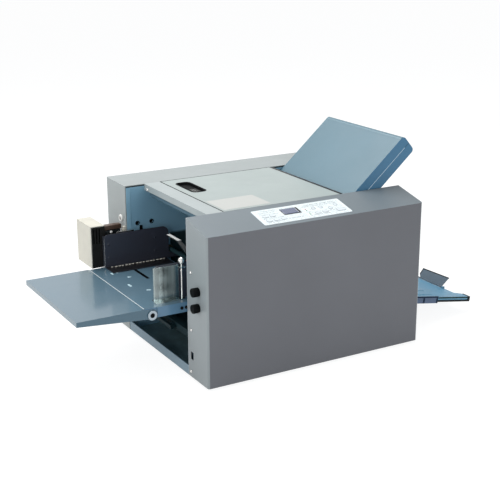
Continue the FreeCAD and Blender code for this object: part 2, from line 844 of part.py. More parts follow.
def make_inlet():
    inlet = Piece("power_inlet")
    half = "inlet_width / 2"
    inner = "(inlet_width / 2 - inlet_border)"
    inlet.pad("XZ", "rear", "rear + inlet_flange", rectangle(
        f"inlet_x - {half}", "inlet_z", f"inlet_x + {half}", "inlet_z + inlet_rise"))
    inlet.pad("XZ", "rear - inlet_depth", "rear", rectangle(
        f"inlet_x - {inner}", "inlet_z + inlet_border", f"inlet_x + {inner}",
        "inlet_z + inlet_rise - inlet_border"))
    mouth = "rear + inlet_flange"
    bottom = "inlet_z + socket_place"
    inlet.cut("XZ", f"{mouth} - socket_depth", mouth, rectangle(
        "inlet_x - socket_width / 2", bottom, "inlet_x + socket_width / 2",
        f"{bottom} + socket_rise"))
    pins = []
    for across_share, up_share in SOCKET_PIN_SHARES:
        x = f"inlet_x + socket_width * ({across_share})"
        z = f"{bottom} + socket_rise * {up_share}"
        pins.append(rectangle(f"{x} - socket_pin / 2", f"{z} - socket_pin", f"{x} + socket_pin / 2",
                              f"{z} + socket_pin"))
    inlet.pad("XZ", f"{mouth} - socket_depth", f"{mouth} - socket_depth / 4", *pins)
    inlet.cut("XZ", f"{mouth} - rocker_depth", mouth, rectangle(
        "inlet_x - rocker_width / 2 - seat_gap", "inlet_z + rocker_place",
        "inlet_x + rocker_width / 2 + seat_gap", "inlet_z + rocker_place + rocker_rise"))
    inlet.cut("YZ", "inlet_x - rocker_width / 2 - 2 * seat_gap - socket_pin",
              "inlet_x + rocker_width / 2 + 2 * seat_gap + socket_pin",
              circle("rear", "inlet_z + rocker_place + rocker_rise / 2",
                     "rocker_pin_radius + running_gap"))
    rocker = Piece("power_rocker")
    reach = "(rocker_rise / 2 - 2 * seat_gap)"
    rocker.pad("YZ", "-rocker_width / 2", "rocker_width / 2", outline(
        ("-rocker_depth / 2", f"-{reach} * {ROCKER_BACK_SHARE}"), ("inlet_flange", f"-{reach}"),
        ("rocker_proud", "0"), ("inlet_flange", reach),
        ("-rocker_depth / 2", f"{reach} * {ROCKER_BACK_SHARE}")))
    rocker.pad("YZ", "-rocker_width / 2 - seat_gap - socket_pin",
               "rocker_width / 2 + seat_gap + socket_pin", circle("0", "0", "rocker_pin_radius"))
    rocker.place("inlet_x", "rear", "inlet_z + rocker_place + rocker_rise / 2", UP_SLOPE,
                 "-rocker_tilt")


def make_bushes():
    bushes = Piece("roller_bushes", compound=True)
    rings = []
    for x, z in SHAFTS:
        rings.append(circle(x, z, "bush_radius"))
        rings.append(circle(x, z, "journal_radius + running_gap"))
    bushes.pad("XZ", "front_wall - bush_length", "front_wall", *rings)
    bushes.pad("XZ", "rear_wall", "rear_wall + bush_length", *rings)


def steps(*stages):
    """The half outline of a turned piece from stages of (from, to, radius) along its axis."""
    points = [(stages[0][0], "0")]
    for low, high, radius in stages:
        points.append((low, radius))
        points.append((high, radius))
    points.append((stages[-1][1], "0"))
    return outline(*points)


def pulley_stages(low, radius):
    """The stages of a flanged pulley, from the place of its first face."""
    return [(low, f"{low} + pulley_flange", f"{radius} + pulley_rim"),
            (f"{low} + pulley_flange", f"{low} + pulley_width - pulley_flange", radius),
            (f"{low} + pulley_width - pulley_flange", f"{low} + pulley_width",
             f"{radius} + pulley_rim")]


def make_fold_rollers():
    gear_end = "gear_front + gear_width + gear_hub_length"
    for number in (1, 2, 3, 4):
        roller = Piece(f"fold_roller_{number}")
        stages = []
        if number == 1:
            low = "feed_belt_rear - pulley_width"
            stages += pulley_stages(low, "side_pulley_radius")
            stages.append((f"{low} + pulley_width", "front_wall + roller_end_gap", "journal_radius"))
        elif number == 4:
            low = "exit_belt_rear - pulley_width"
            stages += pulley_stages(low, "side_pulley_radius")
            stages.append((f"{low} + pulley_width", "front_wall + roller_end_gap", "journal_radius"))
        else:
            stages.append(("frame_front - bush_length", "front_wall + roller_end_gap",
                           "journal_radius"))
        stages.append(("front_wall + roller_end_gap", "rear_wall - roller_end_gap", "roller_radius"))
        last = gear_end if number != 4 else "drive_pulley_front + pulley_width"
        stages.append(("rear_wall - roller_end_gap", last, "journal_radius"))
        roller.turn("YZ", "H_Axis", steps(*stages))
        roller.place(f"roller_{number}_x", "0", f"roller_{number}_z")


GEAR_PHASES = {
    1: "gear_phase",
    2: "2 * (first_nip_tilt - 90) + 180 - gear_phase - 180 / gear_teeth",
}
GEAR_PHASES[3] = f"2 * (-second_nip_tilt) + 180 - ({GEAR_PHASES[2]}) - 180 / gear_teeth"
GEAR_PHASES[4] = f"2 * (-90 - third_nip_tilt) + 180 - ({GEAR_PHASES[3]}) - 180 / gear_teeth"


def tooth(pitch_radius, module):
    """One tooth of a gear, standing out along the sketch's own +x axis."""
    near_side = [(f"{pitch_radius} + ({rise}) * {module}", f"-{half} * {module}")
                 for rise, half in TOOTH_SHARES]
    far_side = [(f"{pitch_radius} + ({rise}) * {module}", f"{half} * {module}")
                for rise, half in reversed(TOOTH_SHARES)]
    root = f"{pitch_radius} - 2 * {module}"
    share = TOOTH_SHARES[0][1]
    return outline((root, f"-{share} * {module}"), *near_side, *far_side,
                   (root, f"{share} * {module}"))


def make_gears():
    pitch = "(gear_module * gear_teeth / 2)"
    for number in (1, 2, 3, 4):
        gear = Piece(f"fold_gear_{number}")
        high = "gear_front + gear_width"
        gear.pad("XZ", "gear_front", high, circle("0", "0", f"{pitch} - tooth_root_share * gear_module"))
        if number != 4:
            gear.pad("XZ", high, f"{high} + gear_hub_length", circle("0", "0", "gear_hub_radius"))
        one = gear.pad("XZ", "gear_front", high, tooth(pitch, "gear_module"))
        gear.ring("Y_Axis", one, "gear_teeth")
        gear.cut("XZ", "gear_front - overrun", f"{high} + gear_hub_length + overrun",
                 circle("0", "0", "journal_radius"))
        gear.place(f"roller_{number}_x", "0", f"roller_{number}_z", LIFT, GEAR_PHASES[number])


def make_pulleys_and_motor():
    low = "drive_pulley_front"
    drive = Piece("drive_pulley")
    bore = "journal_radius"
    flange = "drive_pulley_radius + pulley_rim"
    drive.turn("YZ", "H_Axis", outline(
        (low, bore), (low, flange), (f"{low} + pulley_flange", flange),
        (f"{low} + pulley_flange", "drive_pulley_radius"),
        (f"{low} + pulley_width - pulley_flange", "drive_pulley_radius"),
        (f"{low} + pulley_width - pulley_flange", flange),
        (f"{low} + pulley_width", flange), (f"{low} + pulley_width", bore)))
    drive.place("roller_4_x", "0", "roller_4_z")
    small = Piece("motor_pulley")
    stages = pulley_stages(low, "motor_pulley_radius")
    stages.append((f"{low} + pulley_width", f"{low} + 2 * pulley_width", "motor_shaft_radius"))
    small.turn("YZ", "H_Axis", steps(*stages))
    small.place("motor_x", "0", "motor_z")
    motor = Piece("motor")
    face = f"{low} + pulley_width + pulley_flange + pulley_rim"
    back = f"{face} + motor_length"
    motor.turn("YZ", "H_Axis", outline(
        (face, "motor_shaft_radius + running_gap"), (face, "motor_radius - pulley_rim"),
        (f"{face} + pulley_rim", "motor_radius"), (f"{back} - pulley_rim", "motor_radius"),
        (back, "motor_radius - pulley_rim"), (back, "0"), (f"{face} + pulley_width", "0"),
        (f"{face} + pulley_width", "motor_shaft_radius + running_gap")))
    motor.pad("XZ", f"{face} + pulley_rim", f"{back} - pulley_rim", rectangle(
        "-motor_foot_width / 2", "floor_top - motor_z", "motor_foot_width / 2",
        f"-motor_radius * {MOTOR_SEAT_SHARE}"))
    motor.place("motor_x", "0", "motor_z")


def make_belt(name, first, first_radius, second, second_radius, low):
    """A belt round two pulleys, which stand on the axes of two finished pieces."""
    doc.recompute()
    wall = sheet.belt_wall
    a = first.Placement.Base
    b = second.Placement.Base
    a = FreeCAD.Vector(a.x, 0, a.z)
    b = FreeCAD.Vector(b.x, 0, b.z)
    line = b - a
    turn = math.atan2(line.z, line.x)

    def loop(grow):
        r_a = first_radius + grow
        r_b = second_radius + grow
        lean = math.acos((r_a - r_b) / line.Length)

        def on(centre, radius, angle):
            return centre + FreeCAD.Vector(radius * math.cos(angle), 0, radius * math.sin(angle))

        high, low_side = turn + lean, turn - lean
        a_high, a_low = on(a, r_a, high), on(a, r_a, low_side)
        b_high, b_low = on(b, r_b, high), on(b, r_b, low_side)
        arc_a = Part.Arc(a_high, on(a, r_a, turn + math.pi), a_low)
        arc_b = Part.Arc(b_low, on(b, r_b, turn), b_high)
        edges = [Part.LineSegment(b_high, a_high), arc_a, Part.LineSegment(a_low, b_low), arc_b]
        return Part.Wire([edge.toShape() for edge in edges])

    gap = sheet.seat_gap
    depth = FreeCAD.Vector(0, sheet.belt_width, 0)
    outer = Part.Face(loop(gap + wall)).extrude(depth)
    shape = outer.cut(Part.Face(loop(gap)).extrude(depth))
    belt = doc.addObject("Part::Feature", name)
    belt.Label = name
    belt.Shape = shape
    bind(belt, "Placement.Base.y", low)
    NODES.append(belt)


def make_belts():
    named = {body.Name: body for body in NODES}
    offset = "(pulley_width - belt_width) / 2"
    make_belt("drive_belt", named["fold_roller_4"], sheet.drive_pulley_radius,
              named["motor_pulley"], sheet.motor_pulley_radius, f"drive_pulley_front + {offset}")
    make_belt("feed_belt", named["feed_shaft"], sheet.side_pulley_radius,
              named["fold_roller_1"], sheet.side_pulley_radius,
              f"feed_belt_rear - pulley_width + {offset}")
    make_belt("exit_belt", named["fold_roller_4"], sheet.side_pulley_radius,
              named["exit_roller"], sheet.side_pulley_radius,
              f"exit_belt_rear - pulley_width + {offset}")


def make_feed_roller():
    shaft = Piece("feed_shaft")
    low = "feed_belt_rear - pulley_width"
    half = "(feed_tyre_width + feed_tyre_spacing / 2)"
    stages = pulley_stages(low, "side_pulley_radius")
    stages.append((f"{low} + pulley_width", f"middle - {half}", "journal_radius"))
    stages.append((f"middle - {half}", "middle - feed_tyre_spacing / 2", "feed_core_radius"))
    stages.append(("middle - feed_tyre_spacing / 2", "middle + feed_tyre_spacing / 2",
                   "journal_radius"))
    stages.append(("middle + feed_tyre_spacing / 2", f"middle + {half}", "feed_core_radius"))
    stages.append((f"middle + {half}", "frame_rear + bush_length", "journal_radius"))
    shaft.turn("YZ", "H_Axis", steps(*stages))
    shaft.place("feed_x", "0", "feed_z")
    tyres = Piece("feed_tyres", compound=True)
    for sign in ("-", "+"):
        near_edge = f"middle {sign} feed_tyre_spacing / 2"
        far_edge = f"middle {sign} {half}"
        low, high = (far_edge, near_edge) if sign == "-" else (near_edge, far_edge)
        tyres.pad("XZ", low, high, circle("0", "0", "feed_tyre_radius"),
                  circle("0", "0", "feed_core_radius"))
    tyres.place("feed_x", "0", "feed_z")
    pad = Piece("separator_pad")
    start = "feed_x - pad_length / 4"
    pad.pad("XZ", "middle - pad_width / 2", "middle + pad_width / 2", outline(
        (start, "table_top - pad_depth"), ("feed_end + guide_sheet_start", "table_top - pad_depth"),
        ("feed_end + guide_sheet_start", "table_top - guide_sheet_wall"),
        (f"{start} + pad_length / 2", "table_top"), (start, "table_top - guide_sheet_wall")))


def make_separator_lever():
    # A bent arm that rides on the feed shaft and is tilted by hand
    lever = Piece("separator_lever")
    left = "-lever_back - lever_width / 2"
    right = "-lever_back + lever_width / 2"
    eye = "lever_eye_radius"
    wide, high = LEVER_FOOT_SHARES
    lever.pad("XZ", "0", "lever_stem_width", outline(
        (left, "lever_rise"), (right, "lever_rise"), (f"{eye} * {wide}", f"{eye} * {high}"),
        (f"-{eye} * {wide}", f"-{eye} * {high}")))
    lever.pad("XZ", "0", "lever_stem_width", circle("0", "0", eye))
    lever.pad("XZ", "0", "lever_length", rectangle(
        left, "lever_rise", right, "lever_rise + lever_wall"))
    lever.cut("XZ", "-overrun", "lever_stem_width + overrun",
              circle("0", "0", "journal_radius + running_gap"))
    lever.place("feed_x", "middle - lever_stem_width / 2", "feed_z")


def make_paper_guides():
    guides = Piece("infeed_guides", compound=True)
    start = "feed_end + guide_sheet_start"
    end = "roller_1_x - roller_radius"
    wall = "guide_sheet_wall"
    low = "table_top - guide_sheet_wall"
    nip_low = "nip_z - guide_sheet_throat / 2"
    mouth = "table_top + guide_sheet_mouth"
    nip_high = "nip_z + guide_sheet_throat / 2"
    guides.pad("XZ", "front_wall", "rear_wall",
               outline((start, f"{low} - {wall}"), (end, f"{nip_low} - {wall}"), (end, nip_low),
                       (start, low)),
               outline((start, mouth), (end, nip_high), (end, f"{nip_high} + {wall}"),
                       (start, f"{mouth} + {wall}")))
    chute = Piece("exit_chute", compound=True)
    start = "feed_end + chute_start"
    end = "exit_x - exit_tyre_radius - guide_sheet_mouth"
    chute.pad("XZ", "front_wall", "rear_wall",
              rectangle(start, "paper_out_z - chute_gap / 2 - guide_sheet_wall", end,
                        "paper_out_z - chute_gap / 2"),
              rectangle(start, "paper_out_z + chute_gap / 2", end,
                        "paper_out_z + chute_gap / 2 + guide_sheet_wall"))


def make_exit_roller():
    roller = Piece("exit_roller")
    low = "exit_belt_rear - pulley_width"
    stages = pulley_stages(low, "side_pulley_radius")
    at = f"{low} + pulley_width"
    core = "exit_shaft_radius"
    stages.append((at, "front_wall + roller_end_gap", "journal_radius"))
    at = "front_wall + roller_end_gap"
    span = "(rear_wall - front_wall - 2 * roller_end_gap)"
    count = SIZES["exit_tyre_count"]
    for index in range(count):
        centre = f"front_wall + roller_end_gap + {span} * {index + 0.5} / {count}"
        stages.append((at, f"{centre} - exit_tyre_width / 2", core))
        stages.append((f"{centre} - exit_tyre_width / 2", f"{centre} + exit_tyre_width / 2",
                       "exit_tyre_radius"))
        at = f"{centre} + exit_tyre_width / 2"
    stages.append((at, "rear_wall - roller_end_gap", core))
    stages.append(("rear_wall - roller_end_gap", "frame_rear + bush_length", "journal_radius"))
    roller.turn("YZ", "H_Axis", steps(*stages))
    roller.place("exit_x", "0", "exit_z")


def make_first_plate():
    half = "plate_depth / 2"
    inner = "plate_seam / 2"
    front_edge, rear_edge = "plate_front", "plate_rear"
    for name, low, high, side in (("plate_top_shell", inner, half, 1),
                                  ("plate_bottom_shell", f"-{half}", f"-{inner}", -1)):
        shell = Piece(name)
        shell.pad("XY", low, high, rectangle("plate_start", front_edge, "plate_end", rear_edge))
        shell.soften("plate_corner_radius", lambda along, middle, box: across(along, "y")
                     and near(middle.x, box.XMax)
                     and near(middle.z, box.ZMax if side > 0 else box.ZMin))
        cut_low = f"{inner} - overrun" if side > 0 else f"-{half} + plate_wall"
        cut_high = f"{half} - plate_wall" if side > 0 else f"-{inner} + overrun"
        shell.cut("XY", cut_low, cut_high, rectangle(
            "plate_start - overrun", f"{front_edge} + plate_wall",
            "plate_end - plate_corner_radius", f"{rear_edge} - plate_wall"))
        shell.place("nip_x", "0", "nip_z", LIFT, "plate_tilt")
    channel = Piece("plate_channel", compound=True)
    near_side = f"{front_edge} + plate_wall + seat_gap"
    far_side = f"{rear_edge} - plate_wall - seat_gap"
    end = "plate_end - plate_corner_radius - seat_gap"
    gap = "plate_sheet_gap / 2"
    channel.pad("XY", f"{gap}", f"{gap} + plate_sheet_wall",
                rectangle("plate_mouth", near_side, end, far_side))
    channel.pad("XY", f"-{gap} - plate_sheet_wall", f"-{gap}",
                rectangle("plate_mouth", near_side, end, far_side))
    spacer = f"{near_side} + stop_inset / 2"
    spacer_far = f"{far_side} - stop_inset / 2"
    channel.pad("XY", f"-{gap}", f"{gap}",
                rectangle("plate_mouth", near_side, end, spacer),
                rectangle("plate_mouth", spacer_far, end, far_side))
    for index in range(SIZES["plate_rib_count"]):
        at = f"{near_side} + ({far_side} - ({near_side})) * {index + 0.5} / plate_rib_count"
        channel.pad("XY", f"{gap} + plate_sheet_wall", f"{gap} + plate_sheet_wall + plate_rib_height",
                    rectangle("plate_mouth + plate_rib_height", f"{at} - plate_rib_width / 2",
                              f"{end} - plate_rib_height", f"{at} + plate_rib_width / 2"))
    channel.place("nip_x", "0", "nip_z", LIFT, "plate_tilt")


def make_stop(name, front_edge, rear_edge, at, tip):
    """A comb that stops the sheet between the two sheets of a fold plate."""
    stop = Piece(name)
    stop.pad("XY", "-stop_wall / 2", "stop_wall / 2",
             rectangle(at, front_edge, f"{at} + stop_length", rear_edge))
    tooth_pad = stop.pad("XY", "-stop_wall / 2", "stop_wall / 2", rectangle(
        tip, front_edge, f"{tip} + stop_tooth_length", f"{front_edge} + stop_tooth_width"))
    stop.row("Y_Axis", tooth_pad, "stop_teeth",
             f"({rear_edge}) - ({front_edge}) - stop_tooth_width")
    return stop


def make_stops():
    first = make_stop("fold_stop_1", "plate_front + stop_inset", "plate_rear - stop_inset",
                      "stop_place", "stop_place - stop_tooth_length")
    first.place("nip_x", "0", "nip_z", LIFT, "plate_tilt")
    place = f"-stop_place * {LOWER_STOP_SHARE}"
    second = make_stop("fold_stop_2", "front_wall + lower_inset + stop_inset",
                       "rear_wall - lower_inset - stop_inset", place, f"{place} + stop_length")
    second.place("feed_end + lower_mouth_reach", "0", "base + lower_mouth_height", LIFT,
                 "lower_tilt")


def make_second_plate():
    plate = Piece("fold_plate_2")
    near_side = "front_wall + lower_inset"
    far_side = "rear_wall - lower_inset"
    half = "lower_depth / 2"
    gap = "plate_sheet_gap / 2"
    plate.pad("XY", f"-{half}", half, rectangle("-lower_length", near_side, "0", far_side))
    plate.cut("XY", f"-{gap}", gap, rectangle(
        "-lower_length + stop_inset / 2", f"{near_side} + stop_inset / 2", "overrun",
        f"{far_side} - stop_inset / 2"))
    inset = "stop_inset"
    for low, high in ((f"{gap} + plate_sheet_wall", f"{half} + overrun"),
                      (f"-{half} - overrun", f"-{gap} - plate_sheet_wall")):
        windows = []
        for index in range(SIZES["lower_window_count"]):
            width = f"({far_side} - ({near_side}) - {inset}) / lower_window_count"
            at = f"{near_side} + {inset} + {width} * {index}"
            windows.append(rectangle(f"-lower_length + {inset}", at, f"-{inset}",
                                     f"{at} + {width} - {inset}"))
        plate.cut("XY", low, high, *windows)
    # Hand grip on the end that shows under the feed table
    plate.pad("XY", f"-{half} / 2", f"{half} / 2", rectangle(
        "-lower_length - lower_handle_reach", "middle - lower_handle_width / 2", "-lower_length",
        "middle + lower_handle_width / 2"))
    plate.cut("XY", f"-{half}", half, rectangle(
        "-lower_length - lower_handle_reach / 2", "middle - lower_handle_width / 2 + stop_inset",
        "-lower_length", "middle + lower_handle_width / 2 - stop_inset"))
    plate.place("feed_end + lower_mouth_reach", "0", "base + lower_mouth_height", LIFT,
                "lower_tilt")


def make_feed_table():
    table = Piece("feed_table")
    under = "table_top - table_wall"
    bottom = "table_top - table_skirt"
    table.pad("XY", under, "table_top", outline(
        ("table_start", "ear_front"), ("skirt_start", "ear_front"), ("skirt_start", "table_front"),
        ("table_end", "table_front"), ("table_end", "table_rear"), ("skirt_start", "table_rear"),
        ("skirt_start", "ear_rear"), ("table_start", "ear_rear")))
    skirt = rectangle("skirt_start", bottom, "table_end", under)
    table.pad("XZ", "table_front", "table_front + table_wall", skirt)
    table.pad("XZ", "table_rear - table_wall", "table_rear", skirt)
    ear = rectangle("feed_end - ear_reach", "table_top - ear_depth", "skirt_start + ear_overlap",
                    under)
    table.pad("XZ", "ear_front", "ear_front + table_wall", ear)
    table.pad("XZ", "ear_rear - table_wall", "ear_rear", ear)
    table.pad("YZ", "table_end - table_wall", "table_end", rectangle(
        "table_front + table_wall", bottom, "table_rear - table_wall", under))
    front_rack = "table_front + rack_inset"
    rear_rack = "table_rear - rack_inset - rack_width"
    for low in (front_rack, rear_rack):
        table.pad("XZ", low, f"{low} + rack_width", rectangle(
            "table_end", "rack_bottom", "table_end + rack_back", "table_top"))
    points = [(f"rack_pitch_x + ({rise}) * rack_module", half)
              for rise, half in RACK_TOOTH_SHARES]
    pitch = "(pi * rack_module)"
    first = f"lift_z - 1.5 * {pitch}"
    lower = [(x, f"{first} - {half} * rack_module") for x, half in points]
    upper = [(x, f"{first} + {half} * rack_module") for x, half in reversed(points)]
    rack_tooth = outline(*lower, *upper)
    for low in (front_rack, rear_rack):
        one = table.pad("XZ", low, f"{low} + rack_width", rack_tooth)
        table.row("Z_Axis", one, "rack_teeth", f"(rack_teeth - 1) * {pitch}")
    slot = "table_slot_width / 2"
    table.cut("XY", f"{under} - overrun", "table_top + overrun",
              rectangle(f"slot_x - {slot}", "front_guide - table_slot_inset + guide_foot_width / 2",
                        f"slot_x + {slot}",
                        "front_guide - table_slot_inset + guide_foot_width / 2 + table_slot_length"),
              rectangle(f"slot_x - {slot}",
                        "rear_guide + table_slot_inset - guide_foot_width / 2 - table_slot_length",
                        f"slot_x + {slot}", "rear_guide + table_slot_inset - guide_foot_width / 2"))
    table.cut("XZ", "ear_front - overrun", "ear_rear + overrun",
              circle("pivot_x", "pivot_z", "pivot_shank_radius"))


def make_extension():
    extension = Piece("table_extension")
    start = "table_start - extension_length"
    end = "table_start - extension_gap"
    under = "table_top - table_wall"
    extension.pad("XY", under, "table_top", rectangle(start, "table_front", end, "table_rear"))
    side = outline(
        (start, "table_top - extension_tip"), ("pivot_x", f"pivot_z - pivot_clear * {EXTENSION_EAR_SHARE}"),
        ("pivot_x", "pivot_z + pivot_clear"), (end, under), (start, under))
    for low in ("table_front", "table_rear - table_wall"):
        high = f"{low} + table_wall"
        extension.pad("XZ", low, high, side)
        extension.pad("XZ", low, high, circle("pivot_x", "pivot_z", "pivot_clear"))
    extension.pad("YZ", start, f"{start} + table_wall", rectangle(
        "table_front + table_wall", "table_top - extension_tip", "table_rear - table_wall", under))
    extension.cut("XZ", "table_front - overrun", "table_rear + overrun",
                  circle("pivot_x", "pivot_z", "pivot_shank_radius + running_gap"))
    pivots = Piece("extension_pivots", compound=True)
    for edge, sign in (("table_front", 1), ("table_rear", -1)):
        head_low = f"{edge} - seat_gap - pivot_head_wall" if sign > 0 else f"{edge} + seat_gap"
        head_high = f"{edge} - seat_gap" if sign > 0 else f"{edge} + seat_gap + pivot_head_wall"
        shank_low = head_high if sign > 0 else "ear_rear - table_wall"
        shank_high = "ear_front + table_wall" if sign > 0 else head_low
        pivots.pad("XZ", head_low, head_high, circle("pivot_x", "pivot_z", "pivot_head_radius"),
                   circle("pivot_x", "pivot_z", "pivot_bore_radius"))
        pivots.pad("XZ", shank_low, shank_high, circle("pivot_x", "pivot_z", "pivot_shank_radius"),
                   circle("pivot_x", "pivot_z", "pivot_bore_radius"))


def make_lift_shaft():
    shaft = Piece("lift_shaft")
    shaft.turn("YZ", "H_Axis", steps(
        ("frame_front - bush_length", "front_wall + running_gap", "journal_radius"),
        ("front_wall + running_gap", "rear_wall - running_gap", "journal_radius - running_gap"),
        ("rear_wall - running_gap", "frame_rear + bush_length", "journal_radius")))
    front_rack = "table_front + rack_inset"
    rear_rack = "table_rear - rack_inset - rack_width"
    for low in (front_rack, rear_rack):
        high = f"{low} + rack_width"
        shaft.pad("XZ", low, high, circle("0", "0", "pinion_radius - tooth_root_share * rack_module"))
        one = shaft.pad("XZ", low, high, tooth("pinion_radius", "rack_module"))
        shaft.ring("Y_Axis", one, "pinion_teeth")
    shaft.place("lift_x", "0", "lift_z", LIFT, "180")


def make_guides():
    floor = "guide_floor"
    ceiling = "guide_floor + guide_height"
    nose = "guide_floor + guide_nose_height"
    start = "feed_end - guide_reach"
    inner = "feed_end + guide_inner"
    profile = outline((start, floor), ("feed_end + guide_nose_reach", floor),
                      ("feed_end + guide_nose_reach", nose), (inner, nose), (inner, ceiling),
                      (start, ceiling))
    for name, face, way in (("front_guide_plate", "front_guide", 1),
                            ("rear_guide_plate", "rear_guide", -1)):
        low = f"{face} - guide_wall" if way > 0 else face
        high = face if way > 0 else f"{face} + guide_wall"
        plate = Piece(name)
        plate.pad("XZ", low, high, profile)
        plate.soften("guide_corner", lambda along, middle, box: across(along, "y")
                     and near(middle.z, box.ZMax) and near(middle.x, box.XMin))
        plate.soften("guide_back_corner", lambda along, middle, box: across(along, "y")
                     and near(middle.z, box.ZMax)
                     and (middle.x > box.XMin + box.XLength / 2))
        foot_low = face if way > 0 else f"{face} - rear_foot_width"
        foot_high = f"{face} + guide_foot_width" if way > 0 else face
        plate.pad("XZ", foot_low, foot_high, rectangle(
            start, floor, "feed_end + guide_foot_inner", f"{floor} + guide_foot_wall"))
        stud = f"{face} + guide_foot_width / 2" if way > 0 else f"{face} - guide_foot_width / 2"
        plate.pad("XY", f"{floor} - guide_stud_length", floor,
                  circle("slot_x", stud, "guide_stud_radius"))
    # Outer bracket of the front guide, with the eye of its pull pin
    bracket = Piece("front_guide_bracket")
    back = "front_guide - guide_wall"
    outer = f"{back} - bracket_wall"
    left = "feed_end - bracket_reach"
    right = "feed_end - bracket_inner"
    bracket.pad("XZ", outer, back, rectangle(left, floor, right, f"{floor} + bracket_height"))
    eye = f"{right} + bracket_ear"
    bracket.pad("XY", floor, f"{floor} + bracket_wall",
                rectangle(left, f"{outer} - bracket_foot", eye, outer))
    bracket.pad("XZ", f"{outer} - bracket_foot", outer, rectangle(
        f"{right} - bracket_wall", f"{floor} + bracket_ear_height", eye,
        f"{floor} + bracket_ear_height + bracket_wall"))
    bracket.cut("XY", f"{floor} + bracket_ear_height - overrun",
                f"{floor} + bracket_height + overrun",
                circle("feed_end", f"{outer} - pin_inset", "pin_radius + running_gap"))
    pin = Piece("front_guide_pin")
    pin_base = f"{floor} + bracket_wall + seat_gap"
    collar = f"{floor} + bracket_ear_height - pin_travel - pin_collar_wall"
    ball = f"{pin_base} + pin_height + pin_ball_radius"
    pin.turn("XZ", "V_Axis", outline(
        ("0", pin_base), ("pin_radius", pin_base), ("pin_radius", collar),
        ("pin_collar_radius", collar), ("pin_collar_radius", f"{collar} + pin_collar_wall"),
        ("pin_radius", f"{collar} + pin_collar_wall"), ("pin_radius", f"{pin_base} + pin_height"),
        *[(f"pin_ball_radius * {wide}", f"{ball} + pin_ball_radius * ({high})")
          for wide, high in BALL_SHARES],
        ("0", f"{ball} + pin_ball_radius")))
    pin.place("feed_end", f"{outer} - pin_inset", "0")
    # Block behind the rear guide, with its light cover
    back = "rear_guide + guide_wall"
    outer = f"{back} + bracket_wall"
    block_front = f"{back} + block_gap"
    block_left = "feed_end - block_reach"
    block_right = f"{block_left} + block_length"
    bracket = Piece("rear_guide_bracket")
    bracket.pad("XZ", back, outer, rectangle(start, floor, right, f"{floor} + bracket_height"))
    bracket.pad("XZ", outer, block_front, rectangle(
        start, f"{floor} + bracket_wall", f"{start} + bracket_wall", f"{floor} + bracket_height"))
    block = Piece("guide_block")
    wall = "block_cover_wall"
    roof = f"{floor} + block_height"
    block_back = f"{block_front} + block_depth"
    block.pad("XZ", block_front, f"{block_back} - {wall}", rectangle(
        f"{block_left} + {wall}", floor, block_right, f"{roof} - {wall}"))
    slots = []
    for index in range(SIZES["block_slot_count"]):
        x = f"{block_left} + {wall} + block_slot_spacing * {index + BLOCK_SLOT_SHARE}"
        slots.append(rectangle(x, f"{roof} - {wall} - block_slot_drop - block_slot_height",
                               f"{x} + block_slot_width", f"{roof} - {wall} - block_slot_drop"))
    block.cut("XZ", block_front, f"{block_front} + block_slot_depth", *slots)
    cover = Piece("guide_block_cover")
    cover.pad("XZ", block_front, block_back, outline(
        (block_left, floor), (f"{block_left} + {wall}", floor),
        (f"{block_left} + {wall}", f"{roof} - {wall}"), (block_right, f"{roof} - {wall}"),
        (block_right, roof), (block_left, roof)))
    cover.pad("XZ", f"{block_back} - {wall}", block_back, rectangle(
        f"{block_left} + {wall}", floor, block_right, f"{roof} - {wall}"))


def make_knobs():
    for name, height in (("lower_knob", "knob_z"), ("upper_knob", "knob_z + knob_spacing")):
        knob = Piece(name)
        face = "-knob_gap"
        tip = "-knob_gap - knob_length"
        knob.turn("XY", "H_Axis", outline(
            (tip, "0"), (tip, "knob_radius - cover_wall / 2"),
            (f"{tip} + cover_wall / 2", "knob_radius"), (face, "knob_radius"),
            (face, "knob_spindle_radius"), ("knob_spindle_length", "knob_spindle_radius"),
            ("knob_spindle_length", "0")))
        knob.place("feed_end", "knob_y", height)


